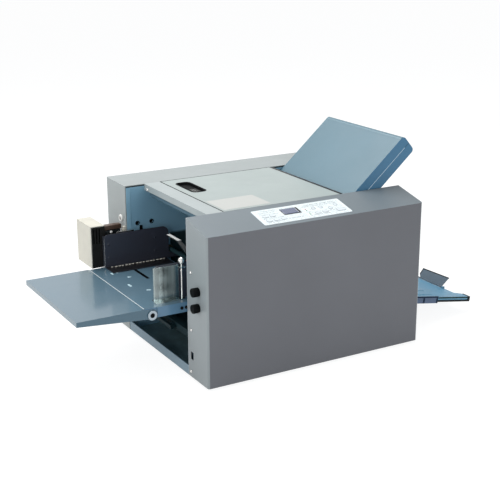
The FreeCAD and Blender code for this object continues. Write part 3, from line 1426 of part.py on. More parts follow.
def make_top_cover():
    lid = Piece("top_cover")
    under = "top - lid_wall"
    bottom = "top - lid_skirt"
    lid.pad("XY", bottom, "top", rectangle("lid_start", "lid_front", "lid_end", "lid_rear"))
    lid.cut("XY", bottom, under, rectangle(
        "lid_start + lid_wall", "lid_front + lid_wall", "lid_end - lid_wall", "lid_rear - lid_wall"))
    for low in ("lid_front", "lid_rear - lid_wall"):
        high = f"{low} + lid_wall"
        lid.pad("XZ", low, high, rectangle(
            "lid_end - lid_wall", "lid_axis_z - lid_ear_radius", "lid_axis_x",
            "lid_axis_z + lid_ear_radius"))
        lid.pad("XZ", low, high, circle("lid_axis_x", "lid_axis_z", "lid_ear_radius"))
    lid.cut("XZ", "lid_front - overrun", "lid_rear + overrun",
            circle("lid_axis_x", "lid_axis_z", "hinge_rod_radius + running_gap"))
    # Latch recess under the lid's plate
    wall = "latch_wall"
    lid.pad("XY", f"latch_floor - {wall}", under, rectangle(
        f"latch_x - {wall}", f"latch_front - {wall}", f"latch_x + latch_width + {wall}",
        f"latch_front + latch_length + {wall}"))
    lid.cut("XY", "latch_floor", "top", rectangle(
        "latch_x", "latch_front", "latch_x + latch_width", "latch_front + latch_length"))
    lid.soften("latch_corner", lambda along, middle, box: across(along, "z")
               and box.XMin + SIZES["lid_skirt"] < middle.x < box.XMax - SIZES["lid_skirt"]
               and box.YMin + SIZES["lid_skirt"] < middle.y < box.YMax - SIZES["lid_skirt"])
    lid.cut("XZ", f"latch_front - {wall} - overrun", f"latch_front + latch_length + {wall} + overrun",
            circle("flap_axis_x", "flap_axis_z", "latch_pin_radius + running_gap"))
    flap = Piece("latch_lever")
    flap_top = "top - latch_flap_drop"
    near_side = "latch_front + 2 * seat_gap"
    far_side = "latch_front + latch_length - 2 * seat_gap"
    flap.pad("XZ", near_side, far_side, rectangle(
        "flap_axis_x - latch_flap_width", f"{flap_top} - latch_flap_wall",
        "flap_axis_x + latch_flap_wall / 2", flap_top))
    flap.soften("latch_corner", lambda along, middle, box: across(along, "z")
                and near(middle.x, box.XMax))
    flap.pad("XZ", f"latch_front - {wall}", f"latch_front + latch_length + {wall}",
             circle("flap_axis_x", "flap_axis_z", "latch_pin_radius"))


def make_tray():
    tray = Piece("exit_tray")
    top_v = "tray_rise"
    under = "tray_rise - tray_wall"
    bottom = "tray_rise - tray_side"
    tray.pad("XY", under, top_v, rectangle("-tray_lead", "tray_front", "tray_length", "tray_rear"))
    side = outline(("-tray_lead", bottom), ("tray_length", bottom), ("tray_length", under),
                   ("-tray_lead", under))
    tail = rectangle("-tray_tail", bottom, "-tray_lead", top_v)
    for low in ("tray_front", "tray_rear - tray_wall"):
        tray.pad("XZ", low, f"{low} + tray_wall", side)
        tray.pad("XZ", low, f"{low} + tray_wall", tail)
    lip_start = "tray_extension_start / 2"
    for low, high in (("tray_front + tray_wall", "tray_front + tray_wall + tray_lip"),
                      ("tray_rear - tray_wall - tray_lip", "tray_rear - tray_wall")):
        tray.pad("XZ", low, high, rectangle(lip_start, bottom, "tray_length",
                                            f"{bottom} + tray_wall"))
    tray.cut("XZ", "tray_front - overrun", "tray_rear + overrun",
             circle("0", "0", "tray_pin_radius + running_gap"))
    tray.place("tray_axis_x", "0", "tray_axis_z", LIFT, "-tray_slope")
    extension = Piece("tray_extension")
    high_v = f"{under} - seat_gap"
    low_v = f"{high_v} - tray_wall"
    near_side = "tray_front + tray_wall + seat_gap"
    far_side = "tray_rear - tray_wall - seat_gap"
    tip = "tray_extension_end + tray_horn"
    extension.pad("XY", low_v, high_v, outline(
        ("tray_extension_start", near_side), (tip, near_side),
        (tip, f"{near_side} + tray_horn_width"), ("tray_extension_end", f"{near_side} + tray_horn"
                                                  " + tray_horn_width / 2"),
        ("tray_extension_end", f"{far_side} - tray_horn - tray_horn_width / 2"),
        (tip, f"{far_side} - tray_horn_width"), (tip, far_side),
        ("tray_extension_start", far_side)))
    floor_v = f"{high_v} - tray_extension_side"
    side = outline(("tray_extension_start", floor_v), (tip, f"{floor_v} + tray_wall"), (tip, low_v),
                   ("tray_extension_start", low_v))
    for low in (near_side, f"{far_side} - tray_wall"):
        extension.pad("XZ", low, f"{low} + tray_wall", side)
    ear_top = "wing_v + 2 * wing_pin_radius"
    for low in ("front + wing_near - 2 * wing_ear", "front + wing_near + wing_width + wing_ear"):
        extension.pad("XZ", low, f"{low} + wing_ear", rectangle(
            "wing_u - wing_inset", high_v, "wing_u + wing_inset", ear_top))
    extension.cut("XZ", "front + wing_near - 3 * wing_ear",
                  "front + wing_near + wing_width + 3 * wing_ear",
                  circle("wing_u", "wing_v", "wing_pin_radius + running_gap"))
    extension.place("tray_axis_x", "0", "tray_axis_z", LIFT, "-tray_slope")
    wing = Piece("tray_stop")
    near_y = "front + wing_near"
    far_y = "front + wing_near + wing_width"
    near_slant, far_slant = WING_SLANT_SHARES
    wing.pad("XY", "-wing_wall / 2", "wing_wall / 2", outline(
        ("0", near_y), ("wing_height", f"{near_y} - wing_height * {near_slant}"),
        ("wing_far_height", far_y), ("wing_far_rise", far_y),
        ("0", f"{far_y} - wing_height * {far_slant}")))
    wing.pad("XZ", f"{near_y} - 2 * wing_ear", f"{far_y} + 2 * wing_ear",
             circle("0", "0", "wing_pin_radius"))
    wing.place(tray_point("wing_u", "wing_v", "x"), "0", tray_point("wing_u", "wing_v", "z"),
               LIFT, "wing_tilt")


def check_and_write():
    """Stop at any failed object, then write one file for each sub-part."""
    doc.recompute()
    for thing in doc.Objects:
        if "Invalid" in thing.State or "Error" in thing.State:
            raise RuntimeError(f"{thing.Name} failed: {thing.State}")
    for name, kind, base, made in CHANGES:
        change = made.Shape.Volume - base.Shape.Volume
        if (change <= 0) if kind == "Pad" else (change >= 0):
            raise RuntimeError(f"{name}: {made.Name} changes nothing")
    os.makedirs("parts", exist_ok=True)
    for node in NODES:
        shape = node.Shape
        if shape.isNull() or not shape.isValid() or not shape.Solids:
            raise RuntimeError(f"{node.Label} has no valid solid")
        shape.exportStep(f"parts/{node.Label}.step")


make_pan()
make_feet()
make_frames()
make_front_cover()
make_rear_cover()
make_cross_strip()
make_tie_bars()
make_exit_panel()
make_control_panel()
make_inlet()
make_bushes()
make_fold_rollers()
make_gears()
make_pulleys_and_motor()
make_feed_roller()
make_exit_roller()
make_belts()
make_separator_lever()
make_paper_guides()
make_first_plate()
make_second_plate()
make_stops()
make_feed_table()
make_extension()
make_lift_shaft()
make_guides()
make_knobs()
make_top_cover()
make_tray()
check_and_write()
print(len(NODES), "sub-parts written")
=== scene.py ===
"""Looks of a desktop paper folding machine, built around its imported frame.

Lengths are metres in the machine's own frame, and millimetres where a field says so. +X is the
way of the paper, from the feed table to the exit tray, +Y is away from the operator and +Z is
up. The origin lies on the desk.
"""

import logging
import math
from dataclasses import dataclass, field
from enum import Enum
from typing import Optional, Sequence, Union

import bmesh
import bpy
from mathutils import Matrix, Vector


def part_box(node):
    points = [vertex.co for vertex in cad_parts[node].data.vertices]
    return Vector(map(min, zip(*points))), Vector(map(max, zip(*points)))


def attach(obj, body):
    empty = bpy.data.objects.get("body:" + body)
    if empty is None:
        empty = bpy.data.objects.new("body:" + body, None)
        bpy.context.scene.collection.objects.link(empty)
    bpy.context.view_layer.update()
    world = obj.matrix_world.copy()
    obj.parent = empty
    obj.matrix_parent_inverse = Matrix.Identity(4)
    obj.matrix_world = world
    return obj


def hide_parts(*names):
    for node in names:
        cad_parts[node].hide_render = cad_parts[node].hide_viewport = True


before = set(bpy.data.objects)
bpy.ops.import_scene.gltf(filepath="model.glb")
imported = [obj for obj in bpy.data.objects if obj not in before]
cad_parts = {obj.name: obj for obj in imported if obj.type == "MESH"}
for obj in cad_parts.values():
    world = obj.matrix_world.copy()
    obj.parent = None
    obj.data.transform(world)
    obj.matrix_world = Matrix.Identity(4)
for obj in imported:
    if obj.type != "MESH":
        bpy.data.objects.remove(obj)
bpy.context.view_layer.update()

log = logging.getLogger("folder")
Pair = tuple[float, float]
Colour = tuple[float, float, float]
Point = tuple[float, float, float]
Strip = tuple[Pair, Pair, Pair, float]
Mesh = bmesh.types.BMesh
Socket = bpy.types.NodeSocket
Tint = Union[Colour, bpy.types.NodeSocket]
Value = Union["Wire", float]
SHARP_ANGLE = math.radians(35.0)
# A screw head's section, as shares of its radius and its rise, and the bars of its recess.
HEAD_RISE = 0.62
HEAD_DOME = ((0.0, 0.0), (1.0, 0.0), (1.0, 0.45), (0.93, 0.72), (0.74, 0.93), (0.5, 1.0))
HEAD_DISH = ((0.5, 1.0), (0.42, 0.96), (0.3, 0.45), (0.0, 0.4))
BAR_LENGTH, BAR_WIDTH, BAR_ROUNDING, BAR_TURN = 0.48, 0.09, 0.05, 0.4
BAR_FOOT, BAR_TOP = 0.5, 0.78


class Way(Enum):
    """A direction that a turned piece or a screw's head looks along, as degrees about Y, X, Z."""

    EXIT = (90.0, 0.0, 0.0)
    FEED = (90.0, 0.0, 180.0)
    BACK = (0.0, -90.0, 0.0)
    FRONT = (0.0, 90.0, 0.0)
    UP = (0.0, 0.0, 0.0)

    def turn(self) -> Matrix:
        """The rotation that takes +Z to this direction."""
        about_y, about_x, about_z = self.value
        return turned(about_z, "Z") @ turned(about_y, "Y") @ turned(about_x, "X")


class Grain(Enum):
    """How the small relief of a finish is laid."""

    EVEN = (1.0, 1.0, 1.0)
    ALONG_X = (0.03, 1.0, 1.0)
    ALONG_Y = (1.0, 0.03, 1.0)
    ALONG_Z = (1.0, 1.0, 0.03)


class Head(Enum):
    """The recess in a screw's head, as its number of bars."""

    CROSS = 2
    SLOT = 1


def mm(*lengths: float) -> Vector:
    """A vector from millimetres."""
    return Vector([length / 1000.0 for length in lengths])


def turned(degrees: float, axis: str) -> Matrix:
    """A rotation about one axis through the origin."""
    return Matrix.Rotation(math.radians(degrees), 4, axis)


def put(mesh: Mesh, *moves: Matrix) -> Mesh:
    """Move a mesh by each matrix in turn, and give it back."""
    for move in moves:
        mesh.transform(move)
    return mesh


class Wire:
    """One value socket of a material. Arithmetic on it adds Math nodes."""

    def __init__(self, recipe: "Recipe", socket: Socket) -> None:
        """Keep the socket and the recipe that it belongs to."""
        self.recipe = recipe
        self.socket = socket

    def maths(self, operation: str, *values: Value) -> "Wire":
        """Add one Math node with these values in its sockets, and give its result."""
        made = self.recipe.node("ShaderNodeMath", {"operation": operation},
                                dict(enumerate(values)))
        return self.recipe.out(made)

    def __add__(self, other: Value) -> "Wire":
        """Self plus other."""
        return self.maths("ADD", self, other)

    def __radd__(self, other: Value) -> "Wire":
        """Other plus self."""
        return self.maths("ADD", other, self)

    def __sub__(self, other: Value) -> "Wire":
        """Self minus other."""
        return self.maths("SUBTRACT", self, other)

    def __rsub__(self, other: Value) -> "Wire":
        """Other minus self."""
        return self.maths("SUBTRACT", other, self)

    def __mul__(self, other: Value) -> "Wire":
        """Self times other."""
        return self.maths("MULTIPLY", self, other)

    def __rmul__(self, other: Value) -> "Wire":
        """Other times self."""
        return self.maths("MULTIPLY", other, self)

    def ramp(self, low: float, high: float) -> "Wire":
        """Spread the values from low to high over 0 to 1, and clamp them there."""
        made = self.recipe.node("ShaderNodeMapRange", {"clamp": True},
                                {"Value": self, "From Min": low, "From Max": high})
        return self.recipe.out(made)


class Recipe:
    """The node tree of one material, or of the world."""

    def __init__(self, data: Union[bpy.types.Material, bpy.types.World],
                 end: str = "ShaderNodeOutputMaterial") -> None:
        """Clear the tree down to its output node.

        Args:
            data: the material or the world.
            end: the type name of the output node.
        """
        data.use_nodes = True
        self.tree = data.node_tree
        self.tree.nodes.clear()
        self.end = self.node(end)

    def node(self, kind: str, settings: Optional[dict] = None,
             inputs: Optional[dict] = None) -> bpy.types.Node:
        """Add one node.

        Args:
            kind: the node's type name.
            settings: its properties.
            inputs: a value, a socket or a Wire for each socket, by name or number.

        Returns:
            The node.
        """
        made = self.tree.nodes.new(kind)
        for name, setting in (settings or {}).items():
            setattr(made, name, setting)
        for name, value in (inputs or {}).items():
            socket = made.inputs[name]
            if isinstance(value, (Wire, bpy.types.NodeSocket)):
                self.tree.links.new(getattr(value, "socket", value), socket)
            elif isinstance(value, tuple) and len(value) == 3 and socket.type == "RGBA":
                socket.default_value = (*value, 1.0)
            else:
                socket.default_value = value
        return made

    def out(self, node: bpy.types.Node, name: Union[str, int] = 0) -> Wire:
        """One output of a node as a Wire."""
        return Wire(self, node.outputs[name])

    def close(self, shader: bpy.types.Node) -> None:
        """Link a shader to the tree's output."""
        self.tree.links.new(shader.outputs[0], self.end.inputs["Surface"])

    def place(self, grain: Grain = Grain.EVEN) -> Socket:
        """The object's own coordinates in metres, stretched along a grain."""
        where = self.node("ShaderNodeTexCoord").outputs["Object"]
        if grain is Grain.EVEN:
            return where
        return self.node("ShaderNodeVectorMath", {"operation": "MULTIPLY"},
                         {0: where, 1: grain.value}).outputs[0]

    def noise(self, size: float, detail: float = 2.0, grain: Grain = Grain.EVEN) -> Wire:
        """Soft noise round 0.5 whose features are about one size, in metres, across."""
        made = self.node("ShaderNodeTexNoise", {"noise_dimensions": "3D"},
                         {"Vector": self.place(grain), "Scale": 1.0 / size,
                          "Detail": detail, "Roughness": 0.55})
        return self.out(made, "Fac")

    def bands(self, axis: str, spacing: float, inputs: Optional[dict] = None) -> Wire:
        """Soft bands from 0 to 1 across the X or Y axis, at a spacing in metres."""
        made = self.node("ShaderNodeTexWave", {"wave_type": "BANDS", "bands_direction": axis},
                         {"Vector": self.place(), "Scale": 0.31 / spacing, **(inputs or {})})
        return self.out(made, "Fac")

    def mix(self, factor: Value, low: Tint, high: Tint) -> Socket:
        """A colour between low, where the factor is 0, and high, where it is 1."""
        made = self.node("ShaderNodeMix", {"data_type": "RGBA"}, {0: factor, 6: low, 7: high})
        return made.outputs[2]

    def cloudy(self, factor: Value, colour: Colour, low: float, high: float) -> Socket:
        """A colour between its low shade, where the factor is 0, and its high shade."""
        return self.mix(factor, shade(colour, low), shade(colour, high))

    def along(self, normal: Socket, direction: Union[Point, Socket]) -> Wire:
        """How far a normal looks along a direction, from -1 to 1."""
        return self.out(self.node("ShaderNodeVectorMath", {"operation": "DOT_PRODUCT"},
                                  {0: normal, 1: direction}), "Value")

    def edges(self, radius: float) -> Wire:
        """Where the surface bends within a radius in metres: 0 on a flat, 1 on an edge."""
        soft = self.node("ShaderNodeBevel", {"samples": 4}, {"Radius": radius})
        flat = self.node("ShaderNodeNewGeometry")
        return (1.0 - self.along(soft.outputs[0], flat.outputs["Normal"])).ramp(0.02, 0.28)

    def facing(self, direction: Point) -> Wire:
        """How far the surface at rest looks along a direction of the machine, from -1 to 1."""
        return self.along(self.node("ShaderNodeTexCoord").outputs["Normal"], direction)

    def relief(self, height: Wire, depth: float, edge: float = 0.0) -> Socket:
        """A bumped normal, with softened edges where they are asked for.

        Args:
            height: the relief, from 0 to 1.
            depth: how deep it is in metres.
            edge: the radius of the softened edges, or 0 for none.

        Returns:
            The normal socket.
        """
        inputs: dict = {"Height": height, "Distance": depth, "Strength": 1.0}
        if edge:
            soft = self.node("ShaderNodeBevel", {"samples": 6}, {"Radius": edge})
            inputs["Normal"] = soft.outputs[0]
        return self.node("ShaderNodeBump", None, inputs).outputs[0]

    def surface(self, inputs: dict) -> None:
        """Close the material with one Principled shader that takes these inputs."""
        self.close(self.node("ShaderNodeBsdfPrincipled", None, inputs))


def shade(colour: Colour, factor: float, lift: float = 0.0) -> Colour:
    """A colour made lighter or darker, and then lifted towards white."""
    return tuple(min(1.0, part * factor + lift) for part in colour)


@dataclass(frozen=True)
class Finish:
    """A finish that makes its material once and hands it out again.

    Attributes:
        name: the material's name.
        colour: its main colour, linear.
    """

    name: str
    colour: Colour

    def recipe(self, build: Recipe) -> None:
        """Fill in the material's nodes. Each kind of finish has its own way."""
        raise NotImplementedError

    def material(self) -> bpy.types.Material:
        """The finish's material, made at its first use."""
        key = "finish_" + self.name
        if key not in bpy.data.materials:
            self.recipe(Recipe(bpy.data.materials.new(key)))
        return bpy.data.materials[key]


@dataclass(frozen=True)
class Paint(Finish):
    """Powder coat on sheet metal, with a fine pebble and softly worn edges.

    Attributes:
        roughness: how dull it is.
        pebble: the size of its pebbles in metres.
        wear: how far the edges are rubbed lighter.
        coat: the weight of its clear coat.
    """

    roughness: float = 0.42
    pebble: float = 0.0011
    wear: float = 0.35
    coat: float = 0.0

    def tone(self, build: Recipe) -> Socket:
        """The paint's own colour, slightly cloudy."""
        return build.cloudy(build.noise(0.16, 3.0).ramp(0.3, 0.7), self.colour, 0.95, 1.04)

    def recipe(self, build: Recipe) -> None:
        """Paint with cloudy tone, pebbled relief and worn edges."""
        body = self.tone(build)
        rubbed = build.edges(0.0014) * build.noise(0.006, 3.0).ramp(0.35, 0.75) * self.wear
        rough = self.roughness + (build.noise(0.05) - 0.5) * 0.14 - rubbed * 0.1
        build.surface({
            "Base Color": build.mix(rubbed, body, shade(self.colour, 1.35)), "Roughness": rough,
            "IOR": 1.5, "Coat Weight": self.coat, "Coat Roughness": 0.1,
            "Normal": build.relief(build.noise(self.pebble, 1.5), 0.00005, 0.0009)})


@dataclass(frozen=True)
class PaintWithPaintedLight(Paint):
    """Powder coat with painted light and shade on the sides that look at the operator and up.

    Attributes:
        front: the colour of the side that looks at the operator, painted with the light and shade
            that fall on it.
        slope: the colour of the side that looks up, painted with the light and shade that fall on
            it.
    """

    front: Colour = (0.1, 0.1, 0.1)
    slope: Colour = (0.2, 0.2, 0.2)

    def tone(self, build: Recipe) -> Socket:
        """The paint's colour, with painted light and shade on its sides along -Y and upwards."""
        cloud = build.noise(0.2, 3.0).ramp(0.3, 0.7)
        # Painted light and shade: the side along -Y and the upward side take tones that stand for
        # the light falling on them.
        face = (0.0 - build.facing((0.0, 1.0, 0.0))).ramp(0.96, 0.985)
        roof = build.facing((0.0, 0.0, 1.0)).ramp(0.9, 0.96)
        sides = build.mix(face, super().tone(build), build.cloudy(cloud, self.front, 0.95, 1.05))
        return build.mix(roof, sides, build.cloudy(cloud, self.slope, 0.97, 1.03))


@dataclass(frozen=True)
class PaintWithPaintedShade(Paint):
    """Powder coat with painted shade inside the machine, mottled there by dust, and plain where it
    shows.

    Attributes:
        inner: the colour of the painted shade inside.
        low: where the inside starts along X, in metres.
        high: where it ends along X.
        top: how high it reaches.
    """

    inner: Colour = (0.03, 0.03, 0.03)
    low: float = 0.0
    high: float = 0.0
    top: float = 1.0

    def tone(self, build: Recipe) -> Socket:
        """The paint's colour with painted shade inside, between two places along X, up to its top.
        """
        parts = build.node("ShaderNodeSeparateXYZ", None, {0: build.place()})
        along, height = build.out(parts, "X"), build.out(parts, "Z")
        # Painted shade: dark between low and high along X, and below top.
        inside = (along - self.low).ramp(0.0, 0.001) * (self.high - along).ramp(0.0, 0.001) \
            * (self.top - height).ramp(0.0, 0.006)
        dust = build.noise(0.03, 4.0).ramp(0.45, 0.8)
        return build.mix(inside, super().tone(build), build.cloudy(dust, self.inner, 1.0, 1.5))


@dataclass(frozen=True)
class BareMetal(Finish):
    """Drawn, rolled or plated metal with fine scratches along its grain.

    Attributes:
        roughness: how dull it is.
        grain: the way its scratches run.
        scratch: the scratches' width in metres.
        streak: how far broad dark streaks run over it along its grain.
    """

    roughness: float = 0.28
    grain: Grain = Grain.ALONG_Y
    scratch: float = 0.0006
    streak: float = 0.0

    def recipe(self, build: Recipe) -> None:
        """Metal with scratches, a cloudy film of oil and bright edges."""
        lines = build.noise(self.scratch, 2.0, self.grain)
        film = build.noise(0.03, 3.0).ramp(0.25, 0.75)
        tone = build.cloudy(film, self.colour, 0.86, 1.0)
        if self.streak:
            broad = build.noise(0.014, 1.0, self.grain).ramp(0.42, 0.6)
            tone = build.mix(broad * self.streak, tone, shade(self.colour, 0.12))
        build.surface({
            "Base Color": build.mix(build.edges(0.0008) * 0.5, tone, shade(self.colour, 1.25)),
            "Metallic": 1.0, "Roughness": self.roughness + (lines - 0.5) * 0.25 + film * 0.06,
            "Normal": build.relief(lines, 0.000012, 0.0005)})


@dataclass(frozen=True)
class Moulded(Finish):
    """Moulded plastic with a spark-eroded grain.

    Attributes:
        roughness: how dull it is.
        grain_size: the grain's size in metres.
        grain_depth: the grain's depth in metres.
        shine: the weight of its clear coat.
        dust: how far its flats are lightened by dust.
        gloss: the level of its plain reflection.
        wear: how far its edges are rubbed lighter.
    """

    roughness: float = 0.45
    grain_size: float = 0.0007
    grain_depth: float = 0.00003
    shine: float = 0.0
    dust: float = 0.06
    gloss: float = 0.5
    wear: float = 0.3

    def recipe(self, build: Recipe) -> None:
        """Plastic with grain, handled patches and a little dust."""
        patch = build.noise(0.04, 3.0).ramp(0.3, 0.75)
        tone = build.cloudy(patch, self.colour, 0.92, 1.06)
        colour = build.mix(build.edges(0.0009) * self.wear + patch * self.dust, tone,
                           shade(self.colour, 0.75, 0.12))
        build.surface({
            "Base Color": colour, "Roughness": self.roughness + (patch - 0.5) * 0.16,
            "IOR": 1.48, "Coat Weight": self.shine, "Coat Roughness": 0.15,
            "Specular IOR Level": self.gloss,
            "Normal": build.relief(build.noise(self.grain_size), self.grain_depth, 0.0007)})


@dataclass(frozen=True)
class Elastic(Finish):
    """Rubber, ground on rollers and dull where nothing rubs it.

    Attributes:
        roughness: how dull it is.
        rib: the spacing of its ground rings along Y in metres, or 0 for none.
    """

    roughness: float = 0.75
    rib: float = 0.0

    def recipe(self, build: Recipe) -> None:
        """Rubber with fine pores, rings and paper dust."""
        pores = build.noise(0.0009, 3.0)
        height = pores
        if self.rib:
            rings = build.bands("Y", self.rib, {"Distortion": 0.3, "Detail": 1.0})
            height = pores * 0.4 + rings * 0.6
        dust = build.noise(0.012, 4.0).ramp(0.5, 0.8)
        build.surface({
            "Base Color": build.mix(dust * 0.35, self.colour, shade(self.colour, 0.6, 0.16)),
            "Roughness": self.roughness + (pores - 0.5) * 0.15, "IOR": 1.5,
            "Normal": build.relief(height, 0.00006, 0.0004)})


@dataclass(frozen=True)
class Film(Finish):
    """A printed film or a glossy window laid on a panel.

    Attributes:
        roughness: how dull it is.
        second: the colour of its soft bands, or None for no bands.
        band: the bands' spacing along X in metres.
    """

    roughness: float = 0.3
    second: Optional[Colour] = None
    band: float = 0.0

    def recipe(self, build: Recipe) -> None:
        """Film with an even skin, a faint ripple and its soft bands."""
        ripple = build.noise(0.02)
        tone = build.cloudy(ripple.ramp(0.3, 0.7), self.colour, 0.97, 1.0)
        if self.second:
            tone = build.mix(build.bands("X", self.band).ramp(0.55, 0.75), tone, self.second)
        build.surface({
            "Base Color": tone, "Roughness": self.roughness + (ripple - 0.5) * 0.08, "IOR": 1.5,
            "Coat Weight": 0.3, "Coat Roughness": 0.12, "Normal": build.relief(ripple, 0.00004)})


# Painted shade: the front face and the sloped strip take darker tones than the ends, for the
# lesser light they get.
CASING = PaintWithPaintedLight("casing_paint", (0.235, 0.265, 0.275), 0.42, front=(0.128, 0.134, 0.15),
                    slope=(0.138, 0.168, 0.187))
REAR_CASING = Paint("rear_casing_paint", (0.28, 0.31, 0.31), 0.4)
LID_PAINT = Paint("lid_paint", (0.312, 0.36, 0.35), 0.4)
STRIP_PAINT = Paint("strip_paint", (0.335, 0.375, 0.375), 0.4)
# Painted light and shade: each front and slope tone stands for the light that side gets.
BLUE_PAINT = PaintWithPaintedLight("table_paint", (0.075, 0.14, 0.18), 0.32, pebble=0.003, coat=0.6,
                        front=(0.046, 0.115, 0.165), slope=(0.077, 0.143, 0.190))
TABLE_PAINT = PaintWithPaintedLight("feed_table_paint", (0.075, 0.14, 0.18), 0.32, pebble=0.003, coat=0.6,
                         front=(0.072, 0.18, 0.29), slope=(0.077, 0.143, 0.190))
PLATE_PAINT = PaintWithPaintedLight("plate_paint", (0.064, 0.145, 0.19), 0.4, front=(0.05, 0.172, 0.30),
                         slope=(0.064, 0.145, 0.19))
FRAME_PAINT = Paint("frame_paint", (0.20, 0.38, 0.50), 0.42)
# Painted shade: the walls go dark inside the machine, beyond the infeed and below the table's
# level.
WALL_PAINT = PaintWithPaintedShade("wall_paint", (0.215, 0.40, 0.53), 0.42, inner=(0.010, 0.029, 0.036),
                        low=-0.164, high=0.2795, top=0.238)
# Painted shade: the tie bars take the shaded wall's colour, and go darker still below the table's
# level.
TIE_PAINT = PaintWithPaintedShade("tie_paint", (0.075, 0.15, 0.20), 0.6, inner=(0.008, 0.02, 0.024),
                       low=-1.0, high=1.0, top=0.238)
# Painted shade: the parts deep in the machine are coloured as dark as the shade they sit in.
CAVITY_SHADE_PAINT = Moulded("cavity_paint", (0.012, 0.031, 0.037), 0.65, dust=0.01, gloss=0.08,
                       wear=0.02)
# Painted highlight: the lever's upward side is near white, and its front side lighter, for the
# light on it.
LEVER_PAINT = PaintWithPaintedLight("lever_paint", (0.05, 0.055, 0.055), 0.35, wear=0.3,
                         front=(0.24, 0.24, 0.23), slope=(0.9, 0.9, 0.88))
HEM_PAINT = Paint("hem_paint", (0.10, 0.19, 0.235), 0.35)
EDGE_BLUE = Paint("flange_paint", (0.25, 0.45, 0.58), 0.4)
# Painted highlight: the pale colour of lit edges.
EDGE_HIGHLIGHT_PAINT = Paint("worn_edge_paint", (0.52, 0.58, 0.61), 0.25)
SEAM_PAINT = Paint("seam_paint", (0.45, 0.60, 0.70), 0.3)
# Painted shade: the pan is darker inside, between its two ends.
PAN_PAINT = PaintWithPaintedShade("pan_paint", (0.17, 0.26, 0.32), 0.45, inner=(0.12, 0.20, 0.225),
                       low=-0.272, high=0.274)
# Painted light and shade: the guides' front side is lighter and their upward side darker.
BLACK_PAINT = PaintWithPaintedLight("black_paint", (0.03, 0.034, 0.046), 0.36, wear=0.12,
                         front=(0.04, 0.045, 0.064), slope=(0.004, 0.004, 0.005))
TRAY_PLASTIC = Moulded("tray_plastic", (0.135, 0.325, 0.475), 0.4, wear=0.15, gloss=0.3)
RIB_PLASTIC = Moulded("rib_plastic", (0.20, 0.42, 0.56), 0.4, wear=0.2, gloss=0.3)
SIDE_PLASTIC = Moulded("side_plastic", (0.105, 0.155, 0.25), 0.4, wear=0.1, gloss=0.3)
TRIM_PLASTIC = Moulded("trim_plastic", (0.009, 0.012, 0.014), 0.4, dust=0.02, gloss=0.15,
                       wear=0.08)
RAIL_PLASTIC = Moulded("rail_plastic", (0.012, 0.045, 0.05), 0.4, dust=0.02, gloss=0.2,
                       wear=0.1)
BROWN_PLASTIC = Moulded("brown_plastic", (0.075, 0.042, 0.028), 0.36)
WING_PLASTIC = Moulded("wing_plastic", (0.075, 0.12, 0.16), 0.45, grain_size=0.003,
                       grain_depth=0.0001)
KNOB_PLASTIC = Moulded("knob_plastic", (0.003, 0.004, 0.0045), 0.5, dust=0.008, gloss=0.05,
                       wear=0.02)
BLACK_PLASTIC = Moulded("black_plastic", (0.013, 0.013, 0.0125), 0.5, dust=0.02, gloss=0.14,
                        wear=0.08)
CREAM_PLASTIC = Moulded("cream_plastic", (0.57, 0.55, 0.475), 0.55, grain_size=0.0012)
GEAR_PLASTIC = Moulded("gear_plastic", (0.72, 0.68, 0.58), 0.4)
WHITE_PLASTIC = Moulded("white_plastic", (0.80, 0.80, 0.77), 0.35)
BRIGHT_STEEL = BareMetal("bright_steel", (0.72, 0.71, 0.69), 0.12, Grain.ALONG_Z)
# Partly painted reflection: the steel's greenish tint stands for the surroundings that it
# reflects.
MIRROR_STEEL = BareMetal("mirror_steel", (0.60, 0.70, 0.70), 0.18, Grain.ALONG_Z, 0.0012,
                         streak=0.55)
# Partly painted highlight: the pressed marks are far paler than the table's paint, for the light
# that catches them.
LANCE_HIGHLIGHT_PAINT = Paint("lance_paint", (0.42, 0.58, 0.63), 0.4, wear=0.3)
# Partly painted highlight: the springs' near-white colour stands for the glints along the guide's
# foot.
SPRING_HIGHLIGHT_PAINT = Paint("spring_paint", (0.85, 0.82, 0.72), 0.35, wear=0.4)
PIVOT_STEEL = BareMetal("pivot_steel", (0.40, 0.47, 0.52), 0.3, Grain.EVEN)
PLAIN_STEEL = BareMetal("plain_steel", (0.52, 0.52, 0.53), 0.32)
ZINC_STEEL = BareMetal("zinc_steel", (0.62, 0.62, 0.63), 0.34, Grain.ALONG_X, 0.0012)
ALUMINIUM = BareMetal("aluminium", (0.58, 0.59, 0.60), 0.36, Grain.ALONG_X)
NAVY_PLASTIC = Moulded("navy_plastic", (0.006, 0.022, 0.055), 0.4, dust=0.02, gloss=0.15,
                       wear=0.08)
LATCH_PLASTIC = Moulded("latch_plastic", (0.05, 0.054, 0.05), 0.3, shine=0.4)
BRONZE = BareMetal("bronze", (0.56, 0.40, 0.20), 0.35, Grain.EVEN)
BELT_RUBBER = Elastic("belt_rubber", (0.02, 0.02, 0.021), 0.7)
ROLLER_RUBBER = Elastic("roller_rubber", (0.10, 0.11, 0.12), 0.55, 0.0016)
FEED_RUBBER = Elastic("feed_rubber", (0.30, 0.085, 0.05), 0.65, 0.002)
FOOT_RUBBER = Elastic("foot_rubber", (0.025, 0.025, 0.026), 0.8)
PANEL_FILM = Film("panel_film", (0.75, 0.82, 0.83), 0.34)
KEY_FILM = Film("key_film", (0.66, 0.72, 0.75), 0.38)
MARK_FILM = Film("mark_film", (0.20, 0.24, 0.28), 0.38)
SPECK_FILM = Film("speck_film", (0.36, 0.42, 0.44), 0.38)
RED_FILM = Film("red_film", (0.42, 0.06, 0.05), 0.3)
GREEN_FILM = Film("green_film", (0.06, 0.26, 0.10), 0.3)
LABEL_FILM = Film("label_film", (0.43, 0.44, 0.415), 0.32)
DISPLAY = Film("display_window", (0.085, 0.10, 0.17), 0.12, (0.15, 0.18, 0.27), 0.0048)

